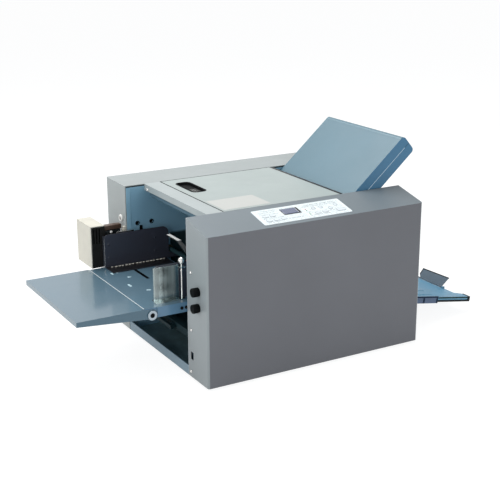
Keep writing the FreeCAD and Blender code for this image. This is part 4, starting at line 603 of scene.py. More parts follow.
CAD_FINISHES: dict[str, Finish] = {
    "base_pan": PAN_PAINT, "feet": FOOT_RUBBER, "front_frame": WALL_PAINT,
    "rear_frame": WALL_PAINT, "front_cover": CASING, "rear_cover": REAR_CASING,
    "cross_strip": STRIP_PAINT, "tie_bars": TIE_PAINT, "hinge_rod": PLAIN_STEEL,
    "exit_panel": FRAME_PAINT, "control_panel": PANEL_FILM, "display_window": DISPLAY,
    "power_inlet": BLACK_PLASTIC, "power_rocker": BLACK_PLASTIC, "roller_bushes": BRONZE,
    "fold_roller_1": ROLLER_RUBBER, "fold_roller_2": ROLLER_RUBBER,
    "fold_roller_3": ROLLER_RUBBER, "fold_roller_4": ROLLER_RUBBER, "fold_gear_1": GEAR_PLASTIC,
    "fold_gear_2": GEAR_PLASTIC, "fold_gear_3": GEAR_PLASTIC, "fold_gear_4": GEAR_PLASTIC,
    "drive_pulley": GEAR_PLASTIC, "motor_pulley": PLAIN_STEEL, "motor": BLACK_PAINT,
    "drive_belt": BELT_RUBBER, "feed_belt": BELT_RUBBER, "exit_belt": BELT_RUBBER,
    "feed_shaft": CAVITY_SHADE_PAINT, "feed_tyres": FEED_RUBBER, "separator_pad": FEED_RUBBER,
    "separator_lever": LEVER_PAINT, "infeed_guides": CAVITY_SHADE_PAINT, "exit_chute": ZINC_STEEL,
    "exit_roller": PLAIN_STEEL, "plate_top_shell": PLATE_PAINT, "plate_bottom_shell": PLATE_PAINT,
    "plate_channel": ALUMINIUM, "fold_stop_1": ALUMINIUM, "fold_plate_2": CAVITY_SHADE_PAINT,
    "fold_stop_2": CAVITY_SHADE_PAINT, "feed_table": TABLE_PAINT, "table_extension": BLUE_PAINT,
    "extension_pivots": PIVOT_STEEL, "lift_shaft": CAVITY_SHADE_PAINT,
    "front_guide_plate": BLACK_PAINT, "rear_guide_plate": BLACK_PAINT,
    "front_guide_bracket": MIRROR_STEEL, "rear_guide_bracket": BLACK_PAINT,
    "front_guide_pin": BRIGHT_STEEL, "guide_block": BLACK_PLASTIC,
    "guide_block_cover": CREAM_PLASTIC, "lower_knob": KNOB_PLASTIC, "upper_knob": KNOB_PLASTIC,
    "top_cover": LID_PAINT, "latch_lever": KNOB_PLASTIC, "exit_tray": TRAY_PLASTIC,
    "tray_extension": TRAY_PLASTIC, "tray_stop": WING_PLASTIC,
}


@dataclass
class Assembly:
    """A group of pieces that belong together on the machine.

    Attributes:
        title: what the log calls it.
        made: the pieces that it has made so far.
    """

    title: str = "assembly"
    made: list[bpy.types.Object] = field(default_factory=list)

    def build(self) -> None:
        """Make every piece. Each assembly has its own way."""
        raise NotImplementedError

    def keep(self, name: str, meshes: Sequence[Mesh], finish: Finish, body: str, slot: str,
             place: Optional[Matrix] = None) -> bpy.types.Object:
        """Turn finished meshes into one piece of the machine.

        Args:
            name: the piece's name.
            meshes: its meshes, which are used up.
            finish: what it is made of or coated with.
            body: the moving body that it rides on.
            slot: the material slot of the record that it belongs to; not used.
            place: where the meshes go in the machine's frame.

        Returns:
            The piece.
        """
        mesh = self.join(meshes)
        if place is not None:
            mesh.transform(place)
        bmesh.ops.recalc_face_normals(mesh, faces=mesh.faces)
        data = bpy.data.meshes.new(name)
        mesh.to_mesh(data)
        mesh.free()
        data.polygons.foreach_set("use_smooth", [True] * len(data.polygons))
        data.set_sharp_from_angle(angle=SHARP_ANGLE)
        data.materials.append(finish.material())
        piece = bpy.data.objects.new(name, data)
        bpy.context.scene.collection.objects.link(piece)
        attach(piece, body)
        self.made.append(piece)
        log.info("%s: %s rides on %s, %d faces", self.title, name, body, len(data.polygons))
        return piece

    @staticmethod
    def join(meshes: Sequence[Mesh]) -> Mesh:
        """Put several meshes into one."""
        whole = bmesh.new()
        for mesh in meshes:
            data = bpy.data.meshes.new("joined")
            mesh.to_mesh(data)
            mesh.free()
            whole.from_mesh(data)
            bpy.data.meshes.remove(data)
        return whole

    @staticmethod
    def skin(rings: Sequence[Sequence[Point]], start: bool = False, end: bool = False) -> Mesh:
        """Faces between successive rings of points.

        Args:
            rings: the rings, all with as many points, or with one point on an axis.
            start: whether the first ring is closed with a face.
            end: whether the last ring is closed with a face.

        Returns:
            The mesh.
        """
        mesh = bmesh.new()
        rows = [[mesh.verts.new(point) for point in ring] for ring in rings]
        for low, high in zip(rows, rows[1:]):
            for k in range(max(len(low), len(high))):
                corners = (low[k % len(low)], low[(k + 1) % len(low)],
                           high[(k + 1) % len(high)], high[k % len(high)])
                apart = list(dict.fromkeys(corners))
                if len(apart) > 2:
                    mesh.faces.new(apart)
        for wanted, row in ((start, rows[0][::-1]), (end, rows[-1])):
            if wanted:
                mesh.faces.new(row)
        return mesh

    @staticmethod
    def block(x: Pair, y: Pair, z: Pair, radius: float = 0.0, steps: int = 1) -> Mesh:
        """A box with rounded edges.

        Args:
            x: its two ends along X, in either order.
            y: its two ends along Y.
            z: its two ends along Z.
            radius: the rounding's radius.
            steps: the rounding's segments.

        Returns:
            The mesh.
        """
        low, high = (Vector([pick(span) for span in (x, y, z)]) for pick in (min, max))
        mesh = bmesh.new()
        bmesh.ops.create_cube(mesh, size=1.0)
        mesh.transform(Matrix.Translation((low + high) / 2)
                       @ Matrix.Diagonal((*(high - low), 1.0)))
        if radius:
            bmesh.ops.bevel(mesh, geom=mesh.edges[:], offset=radius, segments=steps,
                            affect="EDGES", profile=0.5)
        return mesh

    def both_sides(self, node: str, strips: Sequence[Strip]) -> list[Mesh]:
        """Strips on the two sides of a node that look along Y.

        Args:
            node: the node's name.
            strips: each one's span along X, how far it reaches out of the side and into it,
                its span along Z and its rounding.

        Returns:
            The meshes.
        """
        low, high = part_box(node)
        return [self.block(x, (y - way * out, y + way * into), z, radius)
                for x, (out, into), z, radius in strips for y, way in ((low.y, 1), (high.y, -1))]

    @classmethod
    def lathe(cls, profile: Sequence[Pair], steps: int = 32) -> Mesh:
        """A solid turned round +Z, from pairs of a radius and a height along its axis."""
        turns = [2 * math.pi * k / steps for k in range(steps)]
        return cls.skin([[(radius * math.cos(turn), radius * math.sin(turn), height)
                          for turn in (turns if radius else turns[:1])]
                         for radius, height in profile])

    @staticmethod
    def rounded(width: float, height: float, radius: float, steps: int = 6) -> list[Pair]:
        """The corners of a rounded rectangle about the origin.

        Args:
            width: its size along x.
            height: its size along y.
            radius: its corners' radius.
            steps: the segments of each corner.

        Returns:
            The corners, anticlockwise.
        """
        points = []
        for quarter, (sx, sy) in enumerate(((1, 1), (-1, 1), (-1, -1), (1, -1))):
            for k in range(steps + 1):
                turn = math.pi / 2 * (quarter + k / steps)
                points.append((sx * (width / 2 - radius) + radius * math.cos(turn),
                               sy * (height / 2 - radius) + radius * math.sin(turn)))
        return points

    @classmethod
    def outline(cls, points: Sequence[Pair], depth: float) -> Mesh:
        """A flat outline in XY, given by its corners, with a thickness along +Z."""
        return cls.skin([[(x, y, z) for x, y in points] for z in (0.0, depth)], True, True)

    @classmethod
    def bowl(cls, width: float, length: float, radius: float, stages: Sequence[Pair]) -> Mesh:
        """A rounded dish, from how far each ring lies in and how high, rim to floor."""
        return cls.skin([[(x, y, height) for x, y in cls.rounded(
            width - 2 * inset, length - 2 * inset, max(radius - inset, 0.0003), 8)]
            for inset, height in stages], end=True)

    @classmethod
    def screw(cls, radius: float, head: Head = Head.CROSS) -> Mesh:
        """A pan-head screw that stands on z = 0, with bars and a dish for its recess.

        Args:
            radius: the head's radius.
            head: the recess in it.

        Returns:
            The mesh.
        """
        rise, long, wide = radius * HEAD_RISE, radius * BAR_LENGTH, radius * BAR_WIDTH
        parts = [cls.lathe([(radius * out, rise * up) for out, up in profile], 28)
                 for profile in (HEAD_DOME, HEAD_DISH)]
        parts += [put(cls.block((-long, long), (-wide, wide), (rise * BAR_FOOT, rise * BAR_TOP),
                                radius * BAR_ROUNDING),
                      Matrix.Rotation(math.pi / 2 * index + BAR_TURN, 4, "Z"))
                  for index in range(head.value)]
        return cls.join(parts)

    @classmethod
    def copies(cls, mesh: Mesh, way: Way, places: Sequence[Point],
               spin: float = 0.0) -> list[Mesh]:
        """The same small part at several places.

        Args:
            mesh: the part, standing on z = 0, which is used up.
            way: where its top looks.
            places: where its foot goes.
            spin: how far each one is turned on from the one before, in radians.

        Returns:
            The meshes.
        """
        made = [put(mesh.copy(), Matrix.Rotation(index * spin, 4, "Z"), way.turn(),
                    Matrix.Translation(place)) for index, place in enumerate(places)]
        mesh.free()
        return made


@dataclass
class Casing(Assembly):
    """Fasteners, caps and seams of the covers and frames.

    Attributes:
        screw_radius: radius of the cover screws' heads.
        screw_inset: how far the back's screws lie in from its edges.
        strip_screw: radius, inset along Y and depth under the top of the cross strip's screws.
        front_screws: places on each end of the front cover, as (y, z) in millimetres.
        rear_screws: the same on the rear cover.
        cap_profile: radius and height pairs of the cable hole's cap.
        cap_place: the cap's y and z.
        catch_place: the cream catch's y and z.
        holes: the middles of the round holes in the rear frame, as (x, z) in millimetres.
        ring_profile: radius and height pairs of their rings.
        slit: the slot beside them, as (x, lowest z, highest z, width) in millimetres.
        sill_height: how high the dark joint beside the end sill is.
        flange: the rear frame's pale flange, as width, lowest and highest z.
    """

    title: str = "casing"
    screw_radius: float = 0.0034
    screw_inset: float = 0.02
    strip_screw: Point = (0.0038, 0.017, 0.0116)
    front_screws: Sequence[Pair] = ((-186, 247), (-185, 117), (-181, 19))
    rear_screws: Sequence[Pair] = ((226, 117), (226, 22))
    cap_profile: Sequence[Pair] = ((0.0, 0.0025), (0.004, 0.0025), (0.0045, 0.004),
                                   (0.0072, 0.004), (0.0085, 0.0028), (0.0085, 0.0))
    cap_place: Pair = (0.175, 0.281)
    catch_place: Pair = (0.1535, 0.2585)
    holes: Sequence[Pair] = ((-248.8, 270.3), (-212.2, 270.3))
    ring_profile: Sequence[Pair] = ((0.0038, -0.0006), (0.0038, 0.0004), (0.0044, 0.0009),
                                    (0.0053, 0.0006), (0.0056, 0.0))
    slit: tuple[float, float, float, float] = (-239.9, 249.3, 263.3, 8.0)
    sill_height: float = 0.0225
    flange: Point = (0.0105, 0.2597, 0.357)

    def build(self) -> None:
        """Make the fasteners, caps and seams of the casing."""
        low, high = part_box("front_cover")
        for cover, places in (("cover", self.front_screws), ("rear_cover", self.rear_screws)):
            for end, x, way in (("feed_end", low.x, Way.FEED), ("exit_end", high.x, Way.EXIT)):
                self.keep(f"{cover}_screws_{end}",
                          self.copies(self.screw(self.screw_radius), way,
                                      [(x, y / 1000, z / 1000) for y, z in places], 0.7),
                          BRIGHT_STEEL, "machine", "plain_steel")
        self.back_screws()
        self.end_caps(low.x)
        self.cross_screws()
        self.seams(low.x)
        self.grommets()

    def back_screws(self) -> None:
        """Screws along the back of the rear cover."""
        low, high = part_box("rear_cover")
        inset = self.screw_inset
        places = [(x, high.y, z)
                  for x in (low.x + inset, (low.x + high.x) / 2 - 3 * inset, high.x - inset)
                  for z in (low.z + inset, high.z - inset)]
        self.keep("rear_cover_screws_back",
                  self.copies(self.screw(self.screw_radius), Way.BACK, places), PLAIN_STEEL,
                  "machine", "plain_steel")

    def end_caps(self, x: float) -> None:
        """The white cap with its slit and the cream catch, on the rear cover's end at this x."""
        place = Matrix.Translation((x, *self.cap_place))
        self.keep("cable_hole_cap", [put(self.lathe(self.cap_profile, 36), Way.FEED.turn())],
                  WHITE_PLASTIC, "machine", "cream_plastic", place)
        slit = self.block((-0.0043, -0.002), (-0.0009, 0.0009), (-0.0042, 0.0042), 0.0004)
        self.keep("cable_hole_slit", [put(slit, Matrix.Rotation(0.25, 4, "X"))], BLACK_PLASTIC,
                  "machine", "black_plastic", place)
        catch = self.block((-0.007, 0.0), (-0.0045, 0.0045), (-0.008, 0.008), 0.0012, 3)
        lip = self.block((-0.009, -0.006), (-0.003, 0.003), (-0.0024, 0.0024), 0.0008, 2)
        self.keep("cover_catch", [catch, lip], CREAM_PLASTIC, "machine", "cream_plastic",
                  Matrix.Translation((x, *self.catch_place)))

    def cross_screws(self) -> None:
        """Screws of the cross strip."""
        low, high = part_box("cross_strip")
        radius, inset, drop = self.strip_screw
        places = [(low.x, y, high.z - drop) for y in (low.y + inset, high.y - inset)]
        self.keep("strip_screws", self.copies(self.screw(radius), Way.FEED, places),
                  BRIGHT_STEEL, "machine", "bright_steel")

    def seams(self, x: float) -> None:
        """The dark joint at the end sill, the painted highlight along the front cover's inner end
        edge and the rear frame's flange.

        Args:
            x: where the sill's outer face is.
        """
        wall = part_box("rear_cover")[0]
        joint = self.block((x - 0.0005, x + 0.0004), (wall.y - 0.0011, wall.y + 0.0003),
                           (wall.z, wall.z + self.sill_height), 0.0002)
        self.keep("sill_joint", [joint], TRIM_PLASTIC, "machine", "black_plastic")
        low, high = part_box("front_cover")
        # Painted highlight: a pale strip along the front cover's inner end edge.
        end_highlight = self.block((x - 0.0002, x + 0.0006), (high.y - 0.0006, high.y + 0.0002),
                         (low.z + 0.002, high.z - 0.0008), 0.0002)
        self.keep("front_cover_end_highlight", [end_highlight], EDGE_HIGHLIGHT_PAINT, "machine", "casing_grey")
        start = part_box("rear_frame")[0].x + 0.0001
        width, foot, top = self.flange
        flange = self.block((start, start + width), (wall.y - 0.0006, wall.y + 0.0001),
                            (foot, top), 0.0003)
        self.keep("rear_frame_flange", [flange], EDGE_BLUE, "machine", "frame_steel")

    def grommets(self) -> None:
        """The black rings round the holes in the rear frame, and the border of its slot."""
        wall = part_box("rear_cover")[0].y
        rings = self.copies(self.lathe(self.ring_profile), Way.FRONT,
                            [(x / 1000, wall, z / 1000) for x, z in self.holes])
        x, low, high, width = (value / 1000 for value in self.slit)
        border = self.block((x - width / 2, x + width / 2), (wall - 0.0006, wall + 0.0001),
                            (low - 0.001, high + 0.001), 0.0004)
        self.keep("wall_grommets", [*rings, border], KNOB_PLASTIC, "machine", "black_plastic")


@dataclass
class ControlPanel(Assembly):
    """The bare film on the sloped strip, with its keys, marks and lamps.

    Lengths are millimetres on the film, but for the profiles, which are metres.

    Attributes:
        fall: how far the sloped strip falls, and over what width.
        keys: its rectangular keys as (x, y, width, height).
        key_corner: the radius of a key's corners.
        border_gap: how much longer and wider a key's border is than the key.
        dials: the middles of its round keys.
        dial_border: the outer width of the borders round them.
        mark_rows: rows of small blank marks as (first x, last x, y).
        lamps: the middles of its indicator lamps, the red one first.
        window: the display's middle and size as (x, y, width, height).
        speck_rows: how many rows of fine specks cover the film.
        dial_profile: radius and height pairs of a round key.
        lamp_profile: radius and height pairs of a lamp.
    """

    title: str = "control panel"
    fall: Pair = (21.5, 92.0)
    keys: Sequence[tuple[float, float, float, float]] = (
        (20, 27, 13, 7), (38, 27, 13, 7), (56, 27, 13, 7), (20, 45, 13, 7), (38, 45, 13, 7),
        (145, 29, 13, 7), (164, 29, 13, 7), (204, 28, 20, 11))
    key_corner: float = 2.0
    border_gap: float = 1.4
    dials: Sequence[Pair] = ((145, 50), (164, 50), (184, 40), (204, 52))
    dial_border: float = 10.6
    mark_rows: Sequence[Point] = (
        (10, 58, 19), (10, 62, 35.5), (10, 60, 53), (14, 56, 61), (20, 60, 68), (66, 112, 67),
        (66, 112, 24), (122, 176, 21), (120, 134, 38), (122, 214, 61), (130, 210, 67),
        (172, 196, 31))
    lamps: Sequence[Pair] = ((124, 50), (124, 44), (124, 32), (124, 27))
    window: tuple[float, float, float, float] = (87.5, 52.75, 41.0, 22.5)
    speck_rows: int = 17
    dial_profile: Sequence[Pair] = ((0.0, 0.0008), (0.003, 0.0007), (0.0042, 0.0003),
                                    (0.0043, 0.0))
    lamp_profile: Sequence[Pair] = ((0.0, 0.0011), (0.001, 0.0009), (0.0014, 0.0003),
                                    (0.0015, 0.0))

    def build(self) -> None:
        """Make the keys, marks, specks, lamps and the window's frame."""
        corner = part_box("control_panel")[0]
        tilt = math.atan2(*self.fall)
        top = corner + Vector((0.0, -math.sin(tilt), math.cos(tilt))) * 0.001
        place = Matrix.Translation(top) @ Matrix.Rotation(tilt, 4, "X") \
            @ Matrix.Translation(mm(0, -11, 0))
        for name, meshes, finish, slot in (
                *self.film_keys(),
                ("panel_marks", self.film_marks(), MARK_FILM, "panel_film"),
                ("panel_specks", self.film_specks(), SPECK_FILM, "panel_film"),
                *self.window_frame(),
                ("panel_lamp_red", self.dots(self.lamps[:1]), RED_FILM, "display_lens"),
                ("panel_lamps_green", self.dots(self.lamps[1:]), GREEN_FILM, "display_lens")):
            self.keep(name, meshes, finish, "machine", slot, place)

    def dots(self, places: Sequence[Pair]) -> list[Mesh]:
        """Lamps at these places on the film."""
        return self.copies(self.lathe(self.lamp_profile, 20), Way.UP,
                           [mm(x, y, 0) for x, y in places])

    def film_keys(self) -> list[tuple[str, list[Mesh], Finish, str]]:
        """The raised keys and the thin borders round them.

        Returns:
            The name, meshes, finish and slot of each of the two pieces.
        """
        shapes = [(x, y, self.outline(self.rounded(width / 1000, height / 1000,
                                                   self.key_corner / 1000), 0.0006),
                   self.ring(width + self.border_gap, height + self.border_gap, 2.6))
                  for x, y, width, height in self.keys]
        wide = self.dial_border
        shapes += [(x, y, self.lathe(self.dial_profile), self.ring(wide, wide, wide / 2 - 0.01))
                   for x, y in self.dials]
        pads, borders = ([put(shape[part], Matrix.Translation(mm(*shape[:2], 0)))
                          for shape in shapes] for part in (2, 3))
        return [("panel_keys", pads, KEY_FILM, "panel_film"),
                ("panel_borders", borders, MARK_FILM, "panel_film")]

    def window_frame(self) -> list[tuple[str, list[Mesh], Finish, str]]:
        """The black frame of the display with the dark bar at its far end, and a plain line.

        Returns:
            The name, meshes, finish and slot of each of the two pieces.
        """
        x, y, width, height = self.window
        border = put(self.ring(width + 3.0, height + 2.4, 1.2, 1.4),
                     Matrix.Translation(mm(x, y, 0)))
        end, low, high = x + width / 2, y - height / 2, y + height / 2
        bar = self.flat((end - 4.2, end - 0.1), (low, high), (1.42, 1.6), 0.05)
        line = self.flat((end - 5.6, end - 4.7), (low + 1, high - 1), (1.42, 1.5), 0.03)
        return [("display_frame", [border, bar], BLACK_PLASTIC, "display_lens"),
                ("display_line", [line], KEY_FILM, "display_lens")]

    def film_specks(self) -> list[Mesh]:
        """Rows of fine grey specks over the bare film, clear of keys and window."""
        taken = [(x, y, width / 2 + 2, height / 2 + 2) for x, y, width, height in
                 (*self.keys, self.window)]
        taken += [(x, y, 7, 7) for x, y in (*self.dials, *self.lamps)]
        specks = []
        for row in range(self.speck_rows):
            x, y, step = 5.0 + (row * 2.7) % 4.1, 14.2 + 3.6 * row, row * 3
            while x < 217:
                length = 0.8 + 0.55 * ((step * 7 + row) % 4)
                shown = (step * 5 + row * 11) % 7 < 4
                if shown and all(abs(x - at) > wide or abs(y - up) > tall
                                 for at, up, wide, tall in taken):
                    specks.append(self.flat((x, x + length), (y - 0.5, y + 0.5), (0, 0.12)))
                x += length + 1.6
                step += 1
        return specks

    def film_marks(self) -> list[Mesh]:
        """Rows of small blank marks where such a film has its print, with nothing written."""
        marks = []
        for row, (x, last, y) in enumerate(self.mark_rows):
            step = row
            while x < last - 6:
                length = 1.6 + 1.1 * ((step * 5 + row) % 4)
                marks.append(self.flat((x, x + length), (y - 0.45, y + 0.45), (0, 0.22)))
                x += length + 1.2 + 2.3 * ((step * 3) % 5 == 1)
                step += 1
        return marks

    def flat(self, x: Pair, y: Pair, z: Pair, radius: float = 0.0) -> Mesh:
        """A block given in millimetres."""
        return self.block(*(tuple(value / 1000 for value in span) for span in (x, y, z)),
                          radius / 1000)

    def ring(self, width: float, height: float, radius: float, wall: float = 0.5) -> Mesh:
        """A flat rounded border, given in millimetres.

        Args:
            width: its outer size along x.
            height: its outer size along y.
            radius: its outer corners' radius.
            wall: how wide the border itself is.

        Returns:
            The mesh.
        """
        outer = self.rounded(width / 1000, height / 1000, radius / 1000)
        inner = self.rounded((width - 2 * wall) / 1000, (height - 2 * wall) / 1000,
                             max(radius - wall, 0.3) / 1000)
        return self.skin([[(x, y, z) for x, y in points] for points, z in (
            (outer, 0.0), (outer, 0.0004), (inner, 0.0004), (inner, 0.0))])


@dataclass
class TopCover(Assembly):
    """What the lid carries: the latch's bezel and pad, a blank label and its dark strips.

    Attributes:
        bezel: the recess's bezel, as outer length, width and corner radius in millimetres.
        bezel_stages: how far each ring of the bezel lies in and how high.
        bezel_inset: how far its middle lies in from the latch's end.
        label: the blank label's lowest and highest corner in millimetres.
        ribs: how many ribs the latch's pad has.
        rib_step: their spacing.
        rim_reach: how far the dark strip at the hinge reaches along X.
    """

    title: str = "top cover"
    bezel: Point = (103.0, 39.0, 13.5)
    bezel_stages: Sequence[Pair] = (
        (0.0, 0.0), (0.0006, 0.0009), (0.0024, 0.0011), (0.0034, 0.0004), (0.0042, -0.004),
        (0.0052, -0.0095), (0.0082, -0.0122))
    bezel_inset: float = 0.0165
    label: tuple[float, float, float, float] = (-180.0, -156.0, -62.0, -72.0)
    ribs: int = 7
    rib_step: float = 0.0045
    rim_reach: float = 0.009

    def build(self) -> None:
        """Make the bezel, the pad, the label and the dark strips round the lid."""
        low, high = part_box("latch_lever")
        middle, top = (low.y + high.y) / 2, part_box("top_cover")[1].z
        length, width, radius = (value / 1000 for value in self.bezel)
        self.keep("latch_bezel", [self.bowl(width, length, radius, self.bezel_stages)],
                  KNOB_PLASTIC, "lid", "black_plastic",
                  Matrix.Translation((high.x - self.bezel_inset, middle, top)))
        face = high.z + 0.0002
        pad = self.block((high.x - 0.0215, high.x - 0.005), (low.y + 0.011, middle - 0.003),
                         (face - 0.0012, face + 0.0008), 0.0008, 2)
        ribs = [self.block((high.x - 0.020, high.x - 0.0065), (y - 0.0008, y + 0.0008),
                           (face, face + 0.0017), 0.0006, 2)
                for y in (low.y + 0.0155 + self.rib_step * index for index in range(self.ribs))]
        self.keep("latch_pad", [pad, *ribs], LATCH_PLASTIC, "latch", "black_plastic")
        x0, y0, x1, y1 = (value / 1000 for value in self.label)
        sheet = self.outline(self.rounded(x1 - x0, y1 - y0, 0.003), 0.0002)
        self.keep("blank_label", [sheet], LABEL_FILM, "lid", "lid_grey",
                  Matrix.Translation(((x0 + x1) / 2, (y0 + y1) / 2, top)))
        self.gap_shades()

    def gap_shades(self) -> None:
        """Black strips of painted shade in the gaps before and behind the lid, and the dark strip
        at its hinge.
        """
        low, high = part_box("top_cover")
        before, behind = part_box("cross_strip")[1].x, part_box("rear_cover")[0].y - 0.0002
        top, along = high.z, (low.x, high.x - 0.0135)
        # Painted shade: black strips fill the gaps round the lid so that they read as dark lines.
        gap_shades = [self.block(*spans, 0.0001) for spans in (
            ((before - 0.0004, low.x + 0.0005), (low.y + 0.001, high.y),
             (top + 0.00005, top + 0.0004)),
            ((before + 0.0001, low.x - 0.00005), (low.y + 0.002, high.y),
             (top - 0.003, top + 0.0001)),
            (along, (high.y - 0.0004, behind), (top + 0.00005, top + 0.0003)),
            (along, (high.y + 0.00005, behind), (top - 0.003, top + 0.0001)))]
        self.keep("lid_gap_shades", gap_shades, KNOB_PLASTIC, "lid", "black_plastic")
        end = high.x - 0.00395
        rim = self.block((end - self.rim_reach, end), (low.y + 0.002, high.y - 0.002),
                         (top - 0.0026, top - 0.0001), 0.0006, 2)
        self.keep("lid_hinge_rim", [rim], TRIM_PLASTIC, "lid", "black_plastic")


@dataclass
class Knobs(Assembly):
    """The two fluted knobs on the feed end.

    Attributes:
        flutes: how many grooves go round each knob.
        depth: how deep they are.
        length: how long the fluted part is.
        spindle: the radius of the spindle behind it.
    """

    title: str = "knobs"
    flutes: int = 18
    depth: float = 0.0006
    length: float = 0.015
    spindle: float = 0.003

    def build(self) -> None:
        """Make each knob in place of its plain solid."""
        for node, body in (("upper_knob", "knob_upper"), ("lower_knob", "knob_lower")):
            low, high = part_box(node)
            middle = (low + high) / 2
            start, end = self.length - 0.0004, high.x - low.x
            spindle = self.lathe([(0.0, start), (self.spindle, start), (self.spindle, end),
                                  (0.0, end)], 24)
            piece = self.keep(node + "_fluted", [self.fluted((high.z - low.z) / 2), spindle],
                              KNOB_PLASTIC, body, "black_plastic",
                              Matrix.Translation((low.x, middle.y, middle.z)) @ Way.EXIT.turn())
            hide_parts(node)

    def fluted(self, radius: float) -> Mesh:
        """A knob along +Z whose side is grooved, with its dished cap at 0.

        Args:
            radius: its outer radius.

        Returns:
            The mesh.
        """
        back = self.length
        turns = [2 * math.pi * k / (self.flutes * 6) for k in range(self.flutes * 6)]
        rings = []
        for share, height, grooved in (
                (0.35, 0.0006, 0.0), (0.8, 0.0, 0.0), (0.93, 0.0004, 0.3), (1.0, 0.0014, 1.0),
                (1.0, back - 0.0024, 1.0), (0.97, back - 0.0018, 0.4), (0.97, back, 0.0)):
            sizes = [radius * share - self.depth * grooved
                     * (0.5 - 0.5 * math.cos(self.flutes * turn)) ** 3 for turn in turns]
            rings.append([(size * math.cos(turn), size * math.sin(turn), height)
                          for size, turn in zip(sizes, turns)])
        return self.skin(rings, True, True)


@dataclass
class FeedTable(Assembly):
    """What the feed table carries: marks, slot lining, a painted highlight along its hinge edge,
    dark discs of painted shade in its pivots, and screws.

    Attributes:
        lances: its pressed marks as (x, y, angle, length) in millimetres and degrees.
        lance_size: a mark's width and height in millimetres.
        lining: the rear slot's x, its two ends along Y and its width, in millimetres.
        lining_stages: how far each ring of the lining lies in and how high.
        hinge_highlight_width: the width of the painted highlight along the hinge.
        bore_shade: the radius of the dark discs of painted shade in the pivots' bores, and where
            they start and end inside the pivot's end.
        screw_places: the flange screws' x.
        screw_size: their radius, and their depth under the table's top.
    """

    title: str = "feed table"
    lances: Sequence[tuple[float, float, float, float]] = (
        (-318, 49, -30, 10), (-341, -6, 90, 18), (-317, -55, -30, 11), (-343, 90, 90, 14),
        (-330, 91, 60, 8))
    lance_size: Pair = (5.6, 0.22)
    lining: tuple[float, float, float, float] = (-284.5, 17.0, 139.5, 6.0)
    lining_stages: Sequence[Pair] = (
        (0.0, 0.0), (0.0002, 0.00018), (0.0008, 0.0002), (0.00095, -0.0001),
        (0.00095, -0.0085), (0.0012, -0.0088))
    hinge_highlight_width: float = 0.002
    bore_shade: Point = (0.0053, 0.0017, 0.0027)
    screw_places: Pair = (-0.2905, -0.28)
    screw_size: Pair = (0.0036, 0.0125)

    def build(self) -> None:
        """Make everything on the table."""
        low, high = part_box("feed_table")
        # The marks' pale colour is partly their own and partly a painted highlight.
        marks = [put(self.pressed(length / 1000), turned(angle, "Z"),
                     Matrix.Translation((x / 1000, y / 1000, high.z)))
                 for x, y, angle, length in self.lances]
        self.keep("table_pressings", marks, LANCE_HIGHLIGHT_PAINT, "table", "bright_steel")
        x, start, end, width = (value / 1000 for value in self.lining)
        trough = self.bowl(width + 0.0018, end - start + 0.0018, 0.0006, self.lining_stages)
        self.keep("table_slot_lining", [trough], KNOB_PLASTIC, "table", "black_plastic",
                  Matrix.Translation((x, (start + end) / 2, high.z)))
        # Painted highlight: a pale strip along the table's hinge edge.
        edge = self.block((low.x + 0.0001, low.x + 0.0001 + self.hinge_highlight_width),
                          (low.y + 0.0035, high.y - 0.0035), (high.z - 0.0004, high.z + 0.0003),
                          0.0002)
        self.keep("table_hinge_highlight", [edge], EDGE_HIGHLIGHT_PAINT, "table", "panel_blue")
        # Painted shade: dark discs sit inside the pivots' bores to darken them.
        first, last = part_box("extension_pivots")
        radius, *ends = self.bore_shade
        bore_shades = []
        for y, way in ((first.y, 1), (last.y, -1)):
            near, far = sorted(y + way * end for end in ends)
            bore_shades.append(put(self.lathe([(0.0, near), (radius, near), (radius, far),
                                         (0.0, far)]), Way.BACK.turn()))
        middle = (first + last) / 2
        self.keep("pivot_bore_shades", bore_shades, KNOB_PLASTIC, "table", "black_plastic",
                  Matrix.Translation((middle.x, 0.0, middle.z)))
        radius, drop = self.screw_size
        self.keep("table_flange_screws",
                  self.copies(self.screw(radius, Head.SLOT), Way.FRONT,
                              [(x, low.y, high.z - drop) for x in self.screw_places]),
                  KNOB_PLASTIC, "table", "plain_steel")

    def pressed(self, length: float) -> Mesh:
        """A shallow pressed mark of this length along x, with rounded ends."""
        width, rise = (value / 1000 for value in self.lance_size)
        return self.skin([[(x, y, rise * height) for x, y in self.rounded(
            length - width * (1 - share), width * share, width * share * 0.499, 5)]
            for share, height in ((1.0, 0.0), (0.88, 0.45), (0.66, 0.85), (0.35, 1.0))], end=True)


